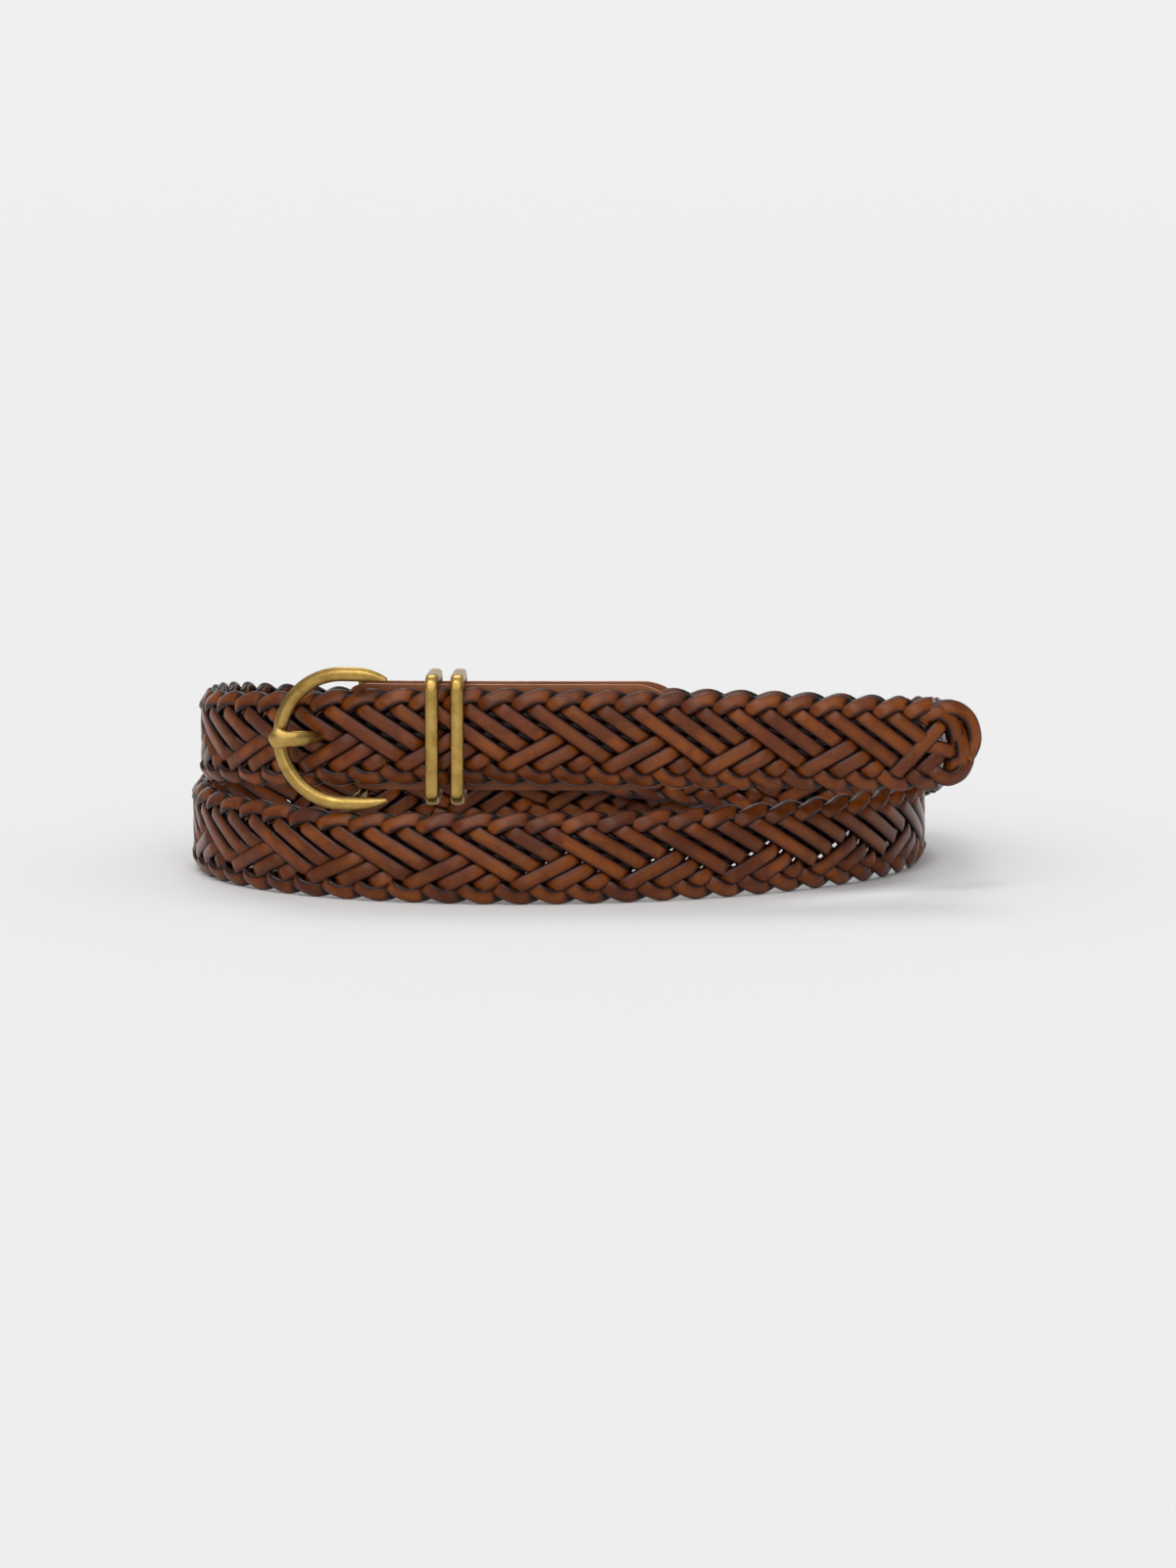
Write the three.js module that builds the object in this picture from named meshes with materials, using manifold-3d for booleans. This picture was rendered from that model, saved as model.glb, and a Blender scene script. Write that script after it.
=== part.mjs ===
// Braided leather belt with a horseshoe buckle, standing on its edge, wound twice and fastened.
// Millimetres, +Z up, the buckle faces -Y. The origin is the bottom centre of the whole belt.
import * as THREE from 'three';
import { mergeVertices } from 'three/addons/utils/BufferGeometryUtils.js';
import Module from 'manifold-3d';

const wasm = await Module();
wasm.setup();

// Driving dimensions
const coil = { width: 208.8, depth: 149.8 };
const strap = { width: 25, thickness: 4.8, pitch: 8.6, scallop: 1.25 };
const tab = { height: 26.9, wall: 1.6, length: 84, endRound: 12, cornerRound: 3 };
const frameRing = { outerHeight: 36.6, wire: 3.6, depth: 2.6, armReach: 11.5, armTaper: 8, armEnd: 1.1 };
const buckle = { swing: 6, standOff: 0.8 };
const bar = { diameter: 2.4, start: 1.8, toBraid: 5.4, behindRingCentre: 2.4 };
const prong = { thickness: 2.2, shank: 3.0, eyeHeight: 4, eyeWall: 1.6, overhang: 0.2 };
const keeper = { wire: 3.4, thickness: 2.9, innerCorner: 0.9, fromBar: 18.5, spacing: 6.3 };
const gap = 0.3;

// Derived sizes
const halfAcross = coil.width / 2;
const halfDeep = coil.depth / 2;
const ply = strap.thickness + gap;
const leaf = tab.wall + gap;
const barRadius = bar.diameter / 2;

// How the belt is wound. Each row is a place on the outer face of the coil: across and deep are
// shares of the half width and half depth, plies and leaves count the strap thicknesses and tab
// walls that lie outside it, lift is the height of its lower edge and slim its width, both as
// shares of the strap's width, and stretch is the length of the braid's bumps as a share of the
// pitch: it is pulled longer where it is bent hard and shorter near its finished end.
const stationColumns = ['across', 'deep', 'plies', 'leaves', 'lift', 'slim', 'stretch'];
const stations = (...rows) => rows.map((row) => (
  Object.fromEntries(stationColumns.map((name, index) => [name, row[index]]))));

const tabRun = stations(
  [-0.588, -0.837, 1.0, 1.0, 1.144, 1.00, 1.000],
  [-0.502, -0.869, 1.0, 1.0, 1.160, 1.00, 1.000],
  [-0.269, -0.888, 1.0, 1.0, 1.172, 1.00, 1.000],
  [0.000, -0.893, 1.0, 1.0, 1.156, 1.00, 1.000],
  [0.288, -0.888, 1.0, 1.0, 1.128, 1.00, 1.000],
  [0.450, -0.862, 1.0, 0.4, 1.108, 1.00, 1.000],
  [0.609, -0.760, 0.0, 0.0, 1.084, 0.99, 1.000],
  [0.776, -0.650, 0.0, 0.0, 1.040, 0.97, 1.000],
  [0.870, -0.447, 0.0, 0.0, 0.984, 0.95, 1.000],
  [0.904, -0.187, 0.0, 0.0, 0.880, 0.95, 1.000],
  [0.916, 0.084, 0.0, 0.0, 0.752, 0.95, 1.000],
);
const backColumns = ['across', 'deep', 'outerLift', 'innerLift'];
const back = [
  [0.904, 0.344, 0.600, 0.010],
  [0.844, 0.594, 0.450, 0.040],
  [0.713, 0.797, 0.310, 0.090],
  [0.514, 0.924, 0.190, 0.160],
  [0.271, 0.984, 0.110, 0.260],
  [0.010, 1.000, 0.050, 0.380],
  [-0.253, 0.976, 0.015, 0.510],
  [-0.496, 0.891, 0.000, 0.630],
  [-0.713, 0.732, 0.000, 0.730],
  [-0.880, 0.501, 0.000, 0.832],
  [-0.976, 0.227, 0.000, 0.928],
].map((row) => Object.fromEntries(backColumns.map((name, index) => [name, row[index]])));
const lowerFront = stations(
  [-1.000, -0.036, 0, 0, 0, 0.95, 1.066],
  [-0.976, -0.278, 0, 0, 0, 0.95, 1.066],
  [-0.905, -0.507, 0, 0, 0, 0.95, 1.066],
  [-0.782, -0.706, 0, 0, 0, 0.94, 1.066],
  [-0.603, -0.872, 0, 0, 0, 0.905, 1.066],
  [-0.368, -0.976, 0, 0, 0, 0.94, 1.066],
  [-0.114, -1.000, 0, 0, 0, 0.95, 1.066],
  [0.140, -0.940, 0, 0, 0, 0.95, 1.066],
  [0.375, -0.809, 0, 0, 0, 0.95, 1.066],
  [0.580, -0.615, 0, 0, 0, 0.95, 1.066],
  [0.737, -0.383, 0, 0, 0, 0.95, 1.066],
  [0.832, -0.127, 0, 0, 0, 0.95, 1.066],
  [0.862, 0.136, 0, 0, 0, 0.95, 1.066],
);
const tipRun = stations(
  [-0.963, -0.044, 0, 0, 0.974, 0.96, 1.050],
  [-0.967, -0.275, 0, 0, 0.984, 0.965, 1.050],
  [-0.911, -0.486, 0, 0, 1.036, 0.975, 1.040],
  [-0.806, -0.661, 0, 0, 1.076, 0.985, 1.030],
  [-0.671, -0.794, 0, 0, 1.120, 1.00, 1.020],
  [-0.588, -0.837, 0, 0, 1.144, 1.00, 1.015],
  [-0.502, -0.869, 0, 0, 1.160, 1.00, 1.015],
  [-0.269, -0.888, 0, 0, 1.172, 1.00, 1.010],
  [0.000, -0.893, 0, 0, 1.156, 1.00, 1.010],
  [0.288, -0.888, 0, 0, 1.128, 1.00, 0.940],
  [0.577, -0.872, 0, 0, 1.104, 0.99, 0.955],
  [0.790, -0.837, 0, 0, 1.088, 0.97, 0.885],
  [0.967, -0.769, 0, 0, 1.088, 0.95, 0.700],
);
const outerBackPass = { plies: 0, leaves: 0, slim: 0.95, stretch: 1.066 };
const innerBackPass = { plies: 1.1, leaves: 0, slim: 0.95, stretch: 1.0615 };
const outerBack = back.map(({ across, deep, outerLift }) => (
  { across, deep, lift: outerLift, ...outerBackPass }));
const innerBack = back.map(({ across, deep, innerLift }) => (
  { across, deep, lift: innerLift, ...innerBackPass }));

// Centre line of the strap, as points with the height of the lower edge for z
function windingPoints(rows) {
  const outline = rows.map((row) => new THREE.Vector2(row.across * halfAcross, row.deep * halfDeep));
  return rows.map((row, index) => {
    const before = outline[Math.max(index - 1, 0)];
    const after = outline[Math.min(index + 1, rows.length - 1)];
    const along = after.clone().sub(before).normalize();
    const inward = strap.thickness / 2 + row.plies * ply + row.leaves * leaf;
    return new THREE.Vector3(
      outline[index].x - along.y * inward,
      outline[index].y + along.x * inward,
      row.lift * strap.width,
    );
  });
}

const winding = [...tabRun, ...outerBack, ...lowerFront, ...innerBack, ...tipRun];
const samplesPerStation = 24;

// Fine samples of the winding: place, run along the plan, slimness and braid phase
function sampleWinding() {
  const curve = new THREE.CatmullRomCurve3(windingPoints(winding), false, 'centripetal');
  const steps = (winding.length - 1) * samplesPerStation;
  const samples = [];
  let run = 0;
  let phase = 0;
  for (let step = 0; step <= steps; step += 1) {
    const share = step / samplesPerStation;
    const row = Math.min(Math.floor(share), winding.length - 2);
    const between = (key) => (
      THREE.MathUtils.lerp(winding[row][key], winding[row + 1][key], share - row));
    const slim = between('slim');
    const place = curve.getPoint(step / steps);
    place.z = Math.max(place.z, 0);
    if (step > 0) {
      const last = samples[step - 1].place;
      const length = Math.hypot(place.x - last.x, place.y - last.y);
      run += length;
      phase += length / (strap.pitch * between('stretch'));
    }
    samples.push({ place, run, phase, slim });
  }
  return samples;
}

const samples = sampleWinding();
const strapLength = samples[samples.length - 1].run;
const strapPhase = samples[samples.length - 1].phase;

// Place, outward normal, lift and slimness at a value of run or phase
function windingAt(key, value) {
  const next = samples.findIndex((sample) => sample[key] >= value);
  const index = next < 0 ? samples.length - 1 : Math.max(next, 1);
  const a = samples[index - 1];
  const b = samples[index];
  const share = (value - a[key]) / (b[key] - a[key]);
  const before = samples[Math.max(index - 2, 0)].place;
  const after = samples[Math.min(index + 1, samples.length - 1)].place;
  const along = new THREE.Vector3(after.x - before.x, after.y - before.y, 0).normalize();
  return {
    place: a.place.clone().lerp(b.place, share),
    along,
    outward: new THREE.Vector3(along.y, -along.x, 0),
    slim: THREE.MathUtils.lerp(a.slim, b.slim, share),
    run: THREE.MathUtils.lerp(a.run, b.run, share),
  };
}

// Closed mesh through rings of equal point counts, capped at both ends or joined into a loop
function loft(rings, looped = false) {
  const sides = rings[0].length;
  const corners = rings.flat();
  const faces = [];
  const spans = looped ? rings.length : rings.length - 1;
  for (let span = 0; span < spans; span += 1) {
    const here = span * sides;
    const there = ((span + 1) % rings.length) * sides;
    for (let side = 0; side < sides; side += 1) {
      const turn = (side + 1) % sides;
      faces.push(here + side, here + turn, there + turn, here + side, there + turn, there + side);
    }
  }
  if (!looped) {
    const last = (rings.length - 1) * sides;
    for (let side = 1; side < sides - 1; side += 1) {
      faces.push(0, side + 1, side, last, last + side, last + side + 1);
    }
  }
  const geometry = new THREE.BufferGeometry();
  geometry.setAttribute('position', new THREE.Float32BufferAttribute(
    corners.flatMap((corner) => [corner.x, corner.y, corner.z]), 3));
  geometry.setIndex(signedVolume(corners, faces) < 0 ? faces.reverse() : faces);
  return geometry;
}

function signedVolume(corners, faces) {
  let sum = 0;
  for (let index = 0; index < faces.length; index += 3) {
    const [a, b, c] = [0, 1, 2].map((step) => corners[faces[index + step]]);
    sum += a.dot(b.clone().cross(c));
  }
  return sum / 6;
}

function toSolid(geometry) {
  const bare = geometry.clone();
  bare.deleteAttribute('normal');
  bare.deleteAttribute('uv');
  const merged = mergeVertices(bare, 1e-4);
  return new wasm.Manifold(new wasm.Mesh({
    numProp: 3,
    vertProperties: new Float32Array(merged.attributes.position.array),
    triVerts: new Uint32Array(merged.index.array),
  }));
}

function toGeometry(solid) {
  const mesh = solid.getMesh();
  const geometry = new THREE.BufferGeometry();
  geometry.setAttribute('position', new THREE.Float32BufferAttribute(mesh.vertProperties, 3));
  geometry.setIndex([...mesh.triVerts]);
  return geometry;
}

// Ring of the strap: eight corners, with flat edges and softened shoulders
const braidStart = bar.start + bar.toBraid;
const edgeFlat = 0.3;
const shoulder = 0.14;
function strapRing(spot, edgeInset, endShare) {
  const height = strap.width * spot.slim;
  const middle = spot.place.z + height / 2;
  const half = (height / 2 - edgeInset) * endShare;
  const flat = strap.thickness * edgeFlat;
  const full = strap.thickness / 2;
  const low = half - height * shoulder * endShare;
  const outline = [
    [flat, -half], [full, -low], [full, low], [flat, half],
    [-flat, half], [-full, low], [-full, -low], [-flat, -half],
  ];
  return outline.map(([out, up]) => (
    spot.place.clone().setZ(middle + up).addScaledVector(spot.outward, out)));
}

// The braid's edges are scalloped, one bump for each pitch, with flat crests and hollows.
// Its free end is round, and ends tipPastCrest of a bump after a crest.
const ringsPerBump = 4;
const tipRadius = strap.width * 0.46;
const bluntTip = 0.16;
const tipPastCrest = 0.217;
function makeStrap() {
  const rings = [];
  for (let ring = Math.floor(strapPhase * ringsPerBump); ring >= 0; ring -= 1) {
    const fromEnd = Math.max(tipPastCrest + (ring - 0.5) / ringsPerBump, 0);
    const spot = windingAt('phase', Math.max(strapPhase - fromEnd, 0));
    if (spot.run < braidStart) continue;
    const fromTip = strapLength - spot.run;
    const round = Math.max(1 - fromTip / tipRadius, 0);
    const inHollow = Math.floor(ring / 2) % 2 === 1;
    const endShare = Math.sqrt(1 - round ** 2) * (1 - bluntTip) + bluntTip;
    rings.push(strapRing(spot, inHollow ? strap.scallop : 0, endShare));
  }
  return toSolid(loft(rings));
}

// The buckle is set out from its bar: along the strap, outward and up. It swings on the bar.
const barSpot = windingAt('run', bar.start);
const barPlace = barSpot.place.clone().setZ(barSpot.place.z + strap.width * barSpot.slim / 2);
const swing = THREE.MathUtils.degToRad(buckle.swing);
const upWay = new THREE.Vector3(0, 0, 1);
const buckleAlong = barSpot.along.clone().applyAxisAngle(upWay, swing);
const buckleOut = barSpot.outward.clone().applyAxisAngle(upWay, swing);
const buckleSpot = (along, out, up) => barPlace.clone()
  .addScaledVector(buckleAlong, along)
  .addScaledVector(buckleOut, out)
  .addScaledVector(upWay, up);

// Distance from the braid inside the tab out to the tip run that lies over it
const tipSamples = samples.slice((winding.length - tipRun.length) * samplesPerStation);
function outToTip(spot) {
  const offsets = tipSamples.map((sample) => sample.place.clone().sub(spot.place));
  const nearest = offsets.reduce((best, offset) => (
    Math.abs(offset.dot(spot.along)) < Math.abs(best.dot(spot.along)) ? offset : best));
  return nearest.dot(spot.outward);
}

const ringOuter = frameRing.outerHeight / 2;
const ringCentre = -bar.behindRingCentre;
const ringOut = outToTip(barSpot) + strap.thickness / 2 + buckle.standOff + frameRing.depth / 2;
const ringSides = 8;

// Soft-cornered section round a point, wide one way and deep the other
function section(centre, wideWay, deepWay, wide, deep, sides = ringSides) {
  return Array.from({ length: sides }, (_, side) => {
    const turn = (side + 0.5) / sides * Math.PI * 2;
    const reach = 1 / Math.cos(Math.PI / sides);
    return centre.clone()
      .addScaledVector(wideWay, Math.cos(turn) * reach * wide / 2)
      .addScaledVector(deepWay, Math.sin(turn) * reach * deep / 2);
  });
}

// Half ring in front of the strap with two straight arms. The inner edge of each arm is straight
// and its outer edge curves in to the end.
function makeFrameRing() {
  const rings = [];
  const arcSteps = 24;
  const armSteps = 6;
  const addRing = (turn, along) => {
    const taper = Math.max(1 - (frameRing.armReach - along) / frameRing.armTaper, 0);
    const share = 1 - taper ** 2;
    const wide = THREE.MathUtils.lerp(frameRing.armEnd, frameRing.wire, share);
    const deep = THREE.MathUtils.lerp(frameRing.armEnd, frameRing.depth, share);
    const radius = ringOuter - frameRing.wire + wide / 2;
    const centre = buckleSpot(
      ringCentre + along - Math.cos(turn) * radius, ringOut, Math.sin(turn) * radius);
    const wideWay = buckleAlong.clone().multiplyScalar(-Math.cos(turn))
      .addScaledVector(upWay, Math.sin(turn));
    rings.push(section(centre, wideWay, buckleOut, wide, deep));
  };
  for (let step = armSteps; step > 0; step -= 1) {
    addRing(-Math.PI / 2, frameRing.armReach * Math.sqrt(step / armSteps));
  }
  for (let step = 0; step <= arcSteps; step += 1) {
    addRing(THREE.MathUtils.lerp(-Math.PI / 2, Math.PI / 2, step / arcSteps), 0);
  }
  for (let step = 1; step <= armSteps; step += 1) {
    addRing(Math.PI / 2, frameRing.armReach * Math.sqrt(step / armSteps));
  }
  return toSolid(loft(rings));
}

// Bar behind the strap, with both ends bent forward into the arms of the ring
function makeBarLoop() {
  const armUp = ringOuter - frameRing.wire * 0.6;
  const postUp = tab.height / 2 + 2 * gap + barRadius;
  const bend = barRadius * 1.5;
  const cornerUp = postUp - bend;
  const steps = 6;
  const corner = Array.from({ length: steps + 1 }, (_, step) => {
    const turn = Math.PI / 2 * step / steps;
    return [bend - Math.sin(turn) * bend, cornerUp + Math.cos(turn) * bend];
  });
  const upper = [[ringOut, armUp], [ringOut * 0.6, (armUp + postUp) / 2], ...corner];
  const lower = upper.map(([out, up]) => [out, -up]).reverse();
  const route = [...upper, ...lower];
  const rings = route.map(([out, up], index) => {
    const [outBefore, upBefore] = route[Math.max(index - 1, 0)];
    const [outAfter, upAfter] = route[Math.min(index + 1, route.length - 1)];
    const run = buckleOut.clone().multiplyScalar(outAfter - outBefore)
      .addScaledVector(upWay, upAfter - upBefore).normalize();
    const deepWay = run.clone().cross(buckleAlong).normalize();
    return section(buckleSpot(0, out, up), buckleAlong, deepWay, bar.diameter, bar.diameter);
  });
  return toSolid(loft(rings));
}

// Prong: an eye round the bar and a straight shank that crosses the strap to lie on the ring
const eyeInner = barRadius + gap;
const eyeOuter = eyeInner + prong.eyeWall;
const prongTip = {
  along: ringCentre - ringOuter - prong.overhang,
  out: ringOut + frameRing.depth / 2 + 1.5 * gap + prong.thickness / 2,
};
const prongColumns = ['share', 'rise', 'high', 'thick'];
const prongShape = [
  [0.10, 0.10, 0.85, 0.90],
  [0.35, 0.42, 0.85, 0.95],
  [0.58, 0.75, 0.95, 1.00],
  [0.70, 0.94, 1.00, 1.00],
  [0.76, 1.00, 1.06, 1.00],
  [0.85, 1.02, 1.42, 1.00],
  [0.91, 1.02, 1.56, 1.00],
  [0.96, 1.01, 1.30, 0.90],
  [1.00, 0.99, 0.50, 0.50],
].map((row) => Object.fromEntries(prongColumns.map((name, index) => [name, row[index]])));

function makeProng(clearance = 0) {
  const route = prongShape.map(({ share, rise }) => (
    buckleSpot(prongTip.along * share, prongTip.out * rise, 0)));
  const rings = prongShape.map(({ high, thick }, index) => {
    const before = route[Math.max(index - 1, 0)];
    const after = route[Math.min(index + 1, route.length - 1)];
    const deepWay = after.clone().sub(before).normalize().cross(upWay);
    return section(
      route[index],
      upWay,
      deepWay,
      prong.shank * high + 2 * clearance,
      prong.thickness * thick + 2 * clearance,
    );
  });
  const shank = toSolid(loft(rings));
  if (clearance > 0) return shank;
  const eye = new THREE.Shape().absarc(0, 0, eyeOuter, 0, Math.PI * 2);
  eye.holes.push(new THREE.Path().absarc(0, 0, eyeInner, 0, Math.PI * 2, true));
  const plate = new THREE.ExtrudeGeometry(eye, {
    depth: prong.eyeHeight, bevelEnabled: false, curveSegments: 8,
  });
  plate.translate(0, 0, -prong.eyeHeight / 2);
  plate.applyMatrix4(new THREE.Matrix4().setPosition(barPlace));
  const bore = new THREE.CylinderGeometry(eyeInner, eyeInner, prong.eyeHeight * 2, 16);
  bore.rotateX(Math.PI / 2);
  bore.applyMatrix4(new THREE.Matrix4().setPosition(barPlace));
  return toSolid(plate).add(shank).subtract(toSolid(bore));
}

// Tab: one piece of leather folded round the bar, its two leaves on either side of the braid
function makeTab() {
  const foldRadius = strap.thickness / 2 + gap;
  const foldStart = bar.start + foldRadius - gap - barRadius;
  const foldSpot = windingAt('run', foldStart);
  const steps = 14;
  const runs = Array.from({ length: steps + 1 }, (_, step) => (
    foldStart + tab.length * step / steps));
  const side = (offset, rows) => rows.map((run) => {
    const spot = windingAt('run', run);
    return new THREE.Vector2(
      spot.place.x + spot.outward.x * offset,
      spot.place.y + spot.outward.y * offset,
    );
  });
  const fold = (radius) => Array.from({ length: 13 }, (_, step) => {
    const turn = Math.PI * step / 12;
    return new THREE.Vector2(foldSpot.place.x, foldSpot.place.y)
      .addScaledVector(foldSpot.outward, Math.cos(turn) * radius)
      .addScaledVector(foldSpot.along, -Math.sin(turn) * radius);
  });
  const outer = foldRadius + tab.wall;
  const backwards = runs.toReversed();
  const plan = new THREE.Shape([
    ...side(outer, backwards), ...fold(outer), ...side(-outer, runs),
    ...side(-foldRadius, backwards), ...fold(foldRadius).reverse(), ...side(foldRadius, runs),
  ]);
  const body = new THREE.ExtrudeGeometry(plan, { depth: strap.width * 3, bevelEnabled: false });

  const half = tab.height / 2;
  const left = -outer - gap;
  const right = tab.length - outer;
  const face = new THREE.Shape();
  face.moveTo(left, -half + tab.cornerRound);
  face.quadraticCurveTo(left, -half, left + tab.cornerRound, -half);
  face.lineTo(right - tab.endRound, -half);
  face.absellipse(right - tab.endRound, 0, tab.endRound, half, -Math.PI / 2, Math.PI / 2);
  face.lineTo(left + tab.cornerRound, half);
  face.quadraticCurveTo(left, half, left, half - tab.cornerRound);
  const reach = 60;
  const cutter = new THREE.ExtrudeGeometry(face, {
    depth: reach, bevelEnabled: false, curveSegments: 10,
  });
  const slot = new THREE.BoxGeometry(
    eyeOuter * 2 + 2 * gap + tab.wall, prong.eyeHeight + 2 * gap, reach);
  slot.translate(-tab.wall / 2, 0, reach / 2);
  const sideways = new THREE.Matrix4().makeBasis(
    barSpot.along, upWay, barSpot.outward);
  sideways.setPosition(barPlace.clone().addScaledVector(barSpot.outward, -reach / 2));
  return toSolid(body)
    .intersect(toSolid(cutter.applyMatrix4(sideways)))
    .subtract(toSolid(slot.applyMatrix4(sideways)));
}

// Keeper: a closed loop round the tip run and the tab
function makeKeeper(fromBar) {
  const spot = windingAt('run', bar.start + fromBar);
  const ahead = outToTip(spot) + strap.thickness / 2 + gap + keeper.thickness / 2;
  const behind = strap.thickness / 2 + leaf + gap + keeper.thickness / 2;
  const high = tab.height / 2 + gap + keeper.thickness / 2;
  const centreOut = (ahead - behind) / 2;
  const halfOut = (ahead + behind) / 2;
  const corner = keeper.innerCorner + keeper.thickness / 2;
  const straight = { out: halfOut - corner, up: high - corner };
  const centre = spot.place.clone().addScaledVector(spot.outward, centreOut);
  centre.z = barPlace.z;
  const rings = [];
  const quarterSteps = 5;
  for (let quarter = 0; quarter < 4; quarter += 1) {
    const outSign = quarter === 0 || quarter === 3 ? 1 : -1;
    const upSign = quarter < 2 ? 1 : -1;
    for (let step = 0; step <= quarterSteps; step += 1) {
      const turn = (quarter + step / quarterSteps) * Math.PI / 2;
      const facing = spot.outward.clone().multiplyScalar(Math.cos(turn))
        .addScaledVector(upWay, Math.sin(turn));
      const place = centre.clone()
        .addScaledVector(spot.outward, straight.out * outSign)
        .addScaledVector(upWay, straight.up * upSign)
        .addScaledVector(facing, corner);
      rings.push(section(place, spot.along, facing, keeper.wire, keeper.thickness));
    }
  }
  return toSolid(loft(rings, true));
}

// Leather and brass
const leather = () => new THREE.MeshStandardMaterial({ color: 0x6b3a24, roughness: 0.42 });
const tabLeather = () => new THREE.MeshStandardMaterial({ color: 0x7d4426, roughness: 0.5 });
const brass = () => new THREE.MeshStandardMaterial({ color: 0xa98a45, roughness: 0.36, metalness: 1 });

const belt = new THREE.Group();
function place(name, solid, material) {
  const mesh = new THREE.Mesh(toGeometry(solid), material);
  mesh.name = name;
  belt.add(mesh);
}

const prongPath = makeProng(gap);
place('braided_strap', makeStrap().subtract(prongPath), leather());
place('leather_tab', makeTab(), tabLeather());
place('buckle_frame', makeFrameRing().add(makeBarLoop()), brass());
place('buckle_prong', makeProng(), brass());
place('keeper_left', makeKeeper(keeper.fromBar), brass());
place('keeper_right', makeKeeper(keeper.fromBar + keeper.spacing), brass());

const box = new THREE.Box3().setFromObject(belt);
const middle = box.getCenter(new THREE.Vector3());
belt.position.set(-middle.x, -middle.y, -box.min.z);

export default belt;
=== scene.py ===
"""Braided leather belt with a horseshoe buckle, wound twice, fastened and standing on its edge.

Sizes are in millimetres and are turned into metres as a mesh is made. The strap follows a winding
through stations, nine flat laces are plaited along it by one rule, and the folded tab, the brass
buckle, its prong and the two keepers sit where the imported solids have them.
"""
import logging
import math
from dataclasses import dataclass, field
from enum import Enum

import bmesh
import bpy
import numpy as np
from bpy.types import Material, Mesh, Node, NodeSocket, NodeTree, Object
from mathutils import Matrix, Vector


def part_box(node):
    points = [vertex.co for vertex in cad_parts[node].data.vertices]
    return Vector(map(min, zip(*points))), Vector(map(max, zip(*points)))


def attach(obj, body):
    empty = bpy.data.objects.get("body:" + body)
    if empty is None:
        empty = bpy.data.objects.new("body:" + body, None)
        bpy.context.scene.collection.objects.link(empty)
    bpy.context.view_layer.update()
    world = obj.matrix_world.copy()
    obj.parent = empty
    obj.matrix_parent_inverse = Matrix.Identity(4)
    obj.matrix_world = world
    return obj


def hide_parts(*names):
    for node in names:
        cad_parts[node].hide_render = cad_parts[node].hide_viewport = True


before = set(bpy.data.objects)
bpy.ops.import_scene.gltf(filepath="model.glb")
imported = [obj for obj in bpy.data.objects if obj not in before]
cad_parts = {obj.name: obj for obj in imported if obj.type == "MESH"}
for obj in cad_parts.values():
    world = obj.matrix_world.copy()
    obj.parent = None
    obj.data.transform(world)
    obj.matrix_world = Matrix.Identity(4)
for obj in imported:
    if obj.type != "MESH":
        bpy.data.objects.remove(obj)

MM = 0.001
ROOT_BODY = "root"
UP = np.array([0.0, 0.0, 1.0])
log = logging.getLogger("belt")


@dataclass(frozen=True)
class Station:
    """One place on the outer face of the coil.

    across and deep are shares of the coil's half width and half depth, lift and slim are the
    height of the lower edge and the width as shares of the strap's width, stretch is the length of
    a bump as a share of the pitch, and plies and leaves count the strap thicknesses and tab walls
    that lie outside it.
    """

    across: float
    deep: float
    lift: float = 0.0
    slim: float = 0.95
    stretch: float = 1.066
    plies: float = 0.0
    leaves: float = 0.0


# The tabbed start and the free end share the front: across, deep, lift
FRONT = ((-0.588, -0.837, 1.144), (-0.502, -0.869, 1.160), (-0.269, -0.888, 1.172),
         (0.000, -0.893, 1.156), (0.288, -0.888, 1.128))
# Both passes round the back share one route: across, deep, outer lift, inner lift
BACK = (
    (0.904, 0.344, 0.600, 0.010), (0.844, 0.594, 0.450, 0.040), (0.713, 0.797, 0.310, 0.090),
    (0.514, 0.924, 0.190, 0.160), (0.271, 0.984, 0.110, 0.260), (0.010, 1.000, 0.050, 0.380),
    (-0.253, 0.976, 0.015, 0.510), (-0.496, 0.891, 0.000, 0.630), (-0.713, 0.732, 0.000, 0.730),
    (-0.880, 0.501, 0.000, 0.832), (-0.976, 0.227, 0.000, 0.928),
)
TAB_RUN = [
    *(Station(*place, slim=1.0, stretch=1.0, plies=1.0, leaves=1.0) for place in FRONT),
    Station(0.450, -0.862, 1.108, 1.00, 1.0, plies=1.0, leaves=0.4),
    Station(0.609, -0.760, 1.084, 0.99, 1.0),
    Station(0.776, -0.650, 1.040, 0.97, 1.0),
    Station(0.870, -0.447, 0.984, 0.95, 1.0),
    Station(0.904, -0.187, 0.880, 0.95, 1.0),
    Station(0.916, 0.084, 0.752, 0.95, 1.0),
]
OUTER_BACK = [Station(across, deep, lift) for across, deep, lift, _ in BACK]
LOWER_FRONT = [Station(across, deep, slim=slim) for across, deep, slim in (
    (-1.000, -0.036, 0.95), (-0.976, -0.278, 0.95), (-0.905, -0.507, 0.95),
    (-0.782, -0.706, 0.94), (-0.603, -0.872, 0.905), (-0.368, -0.976, 0.94),
    (-0.114, -1.000, 0.95), (0.140, -0.940, 0.95), (0.375, -0.809, 0.95),
    (0.580, -0.615, 0.95), (0.737, -0.383, 0.95), (0.832, -0.127, 0.95), (0.862, 0.136, 0.95))]
INNER_BACK = [Station(across, deep, lift, stretch=1.0615, plies=1.1)
              for across, deep, _, lift in BACK]
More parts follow.
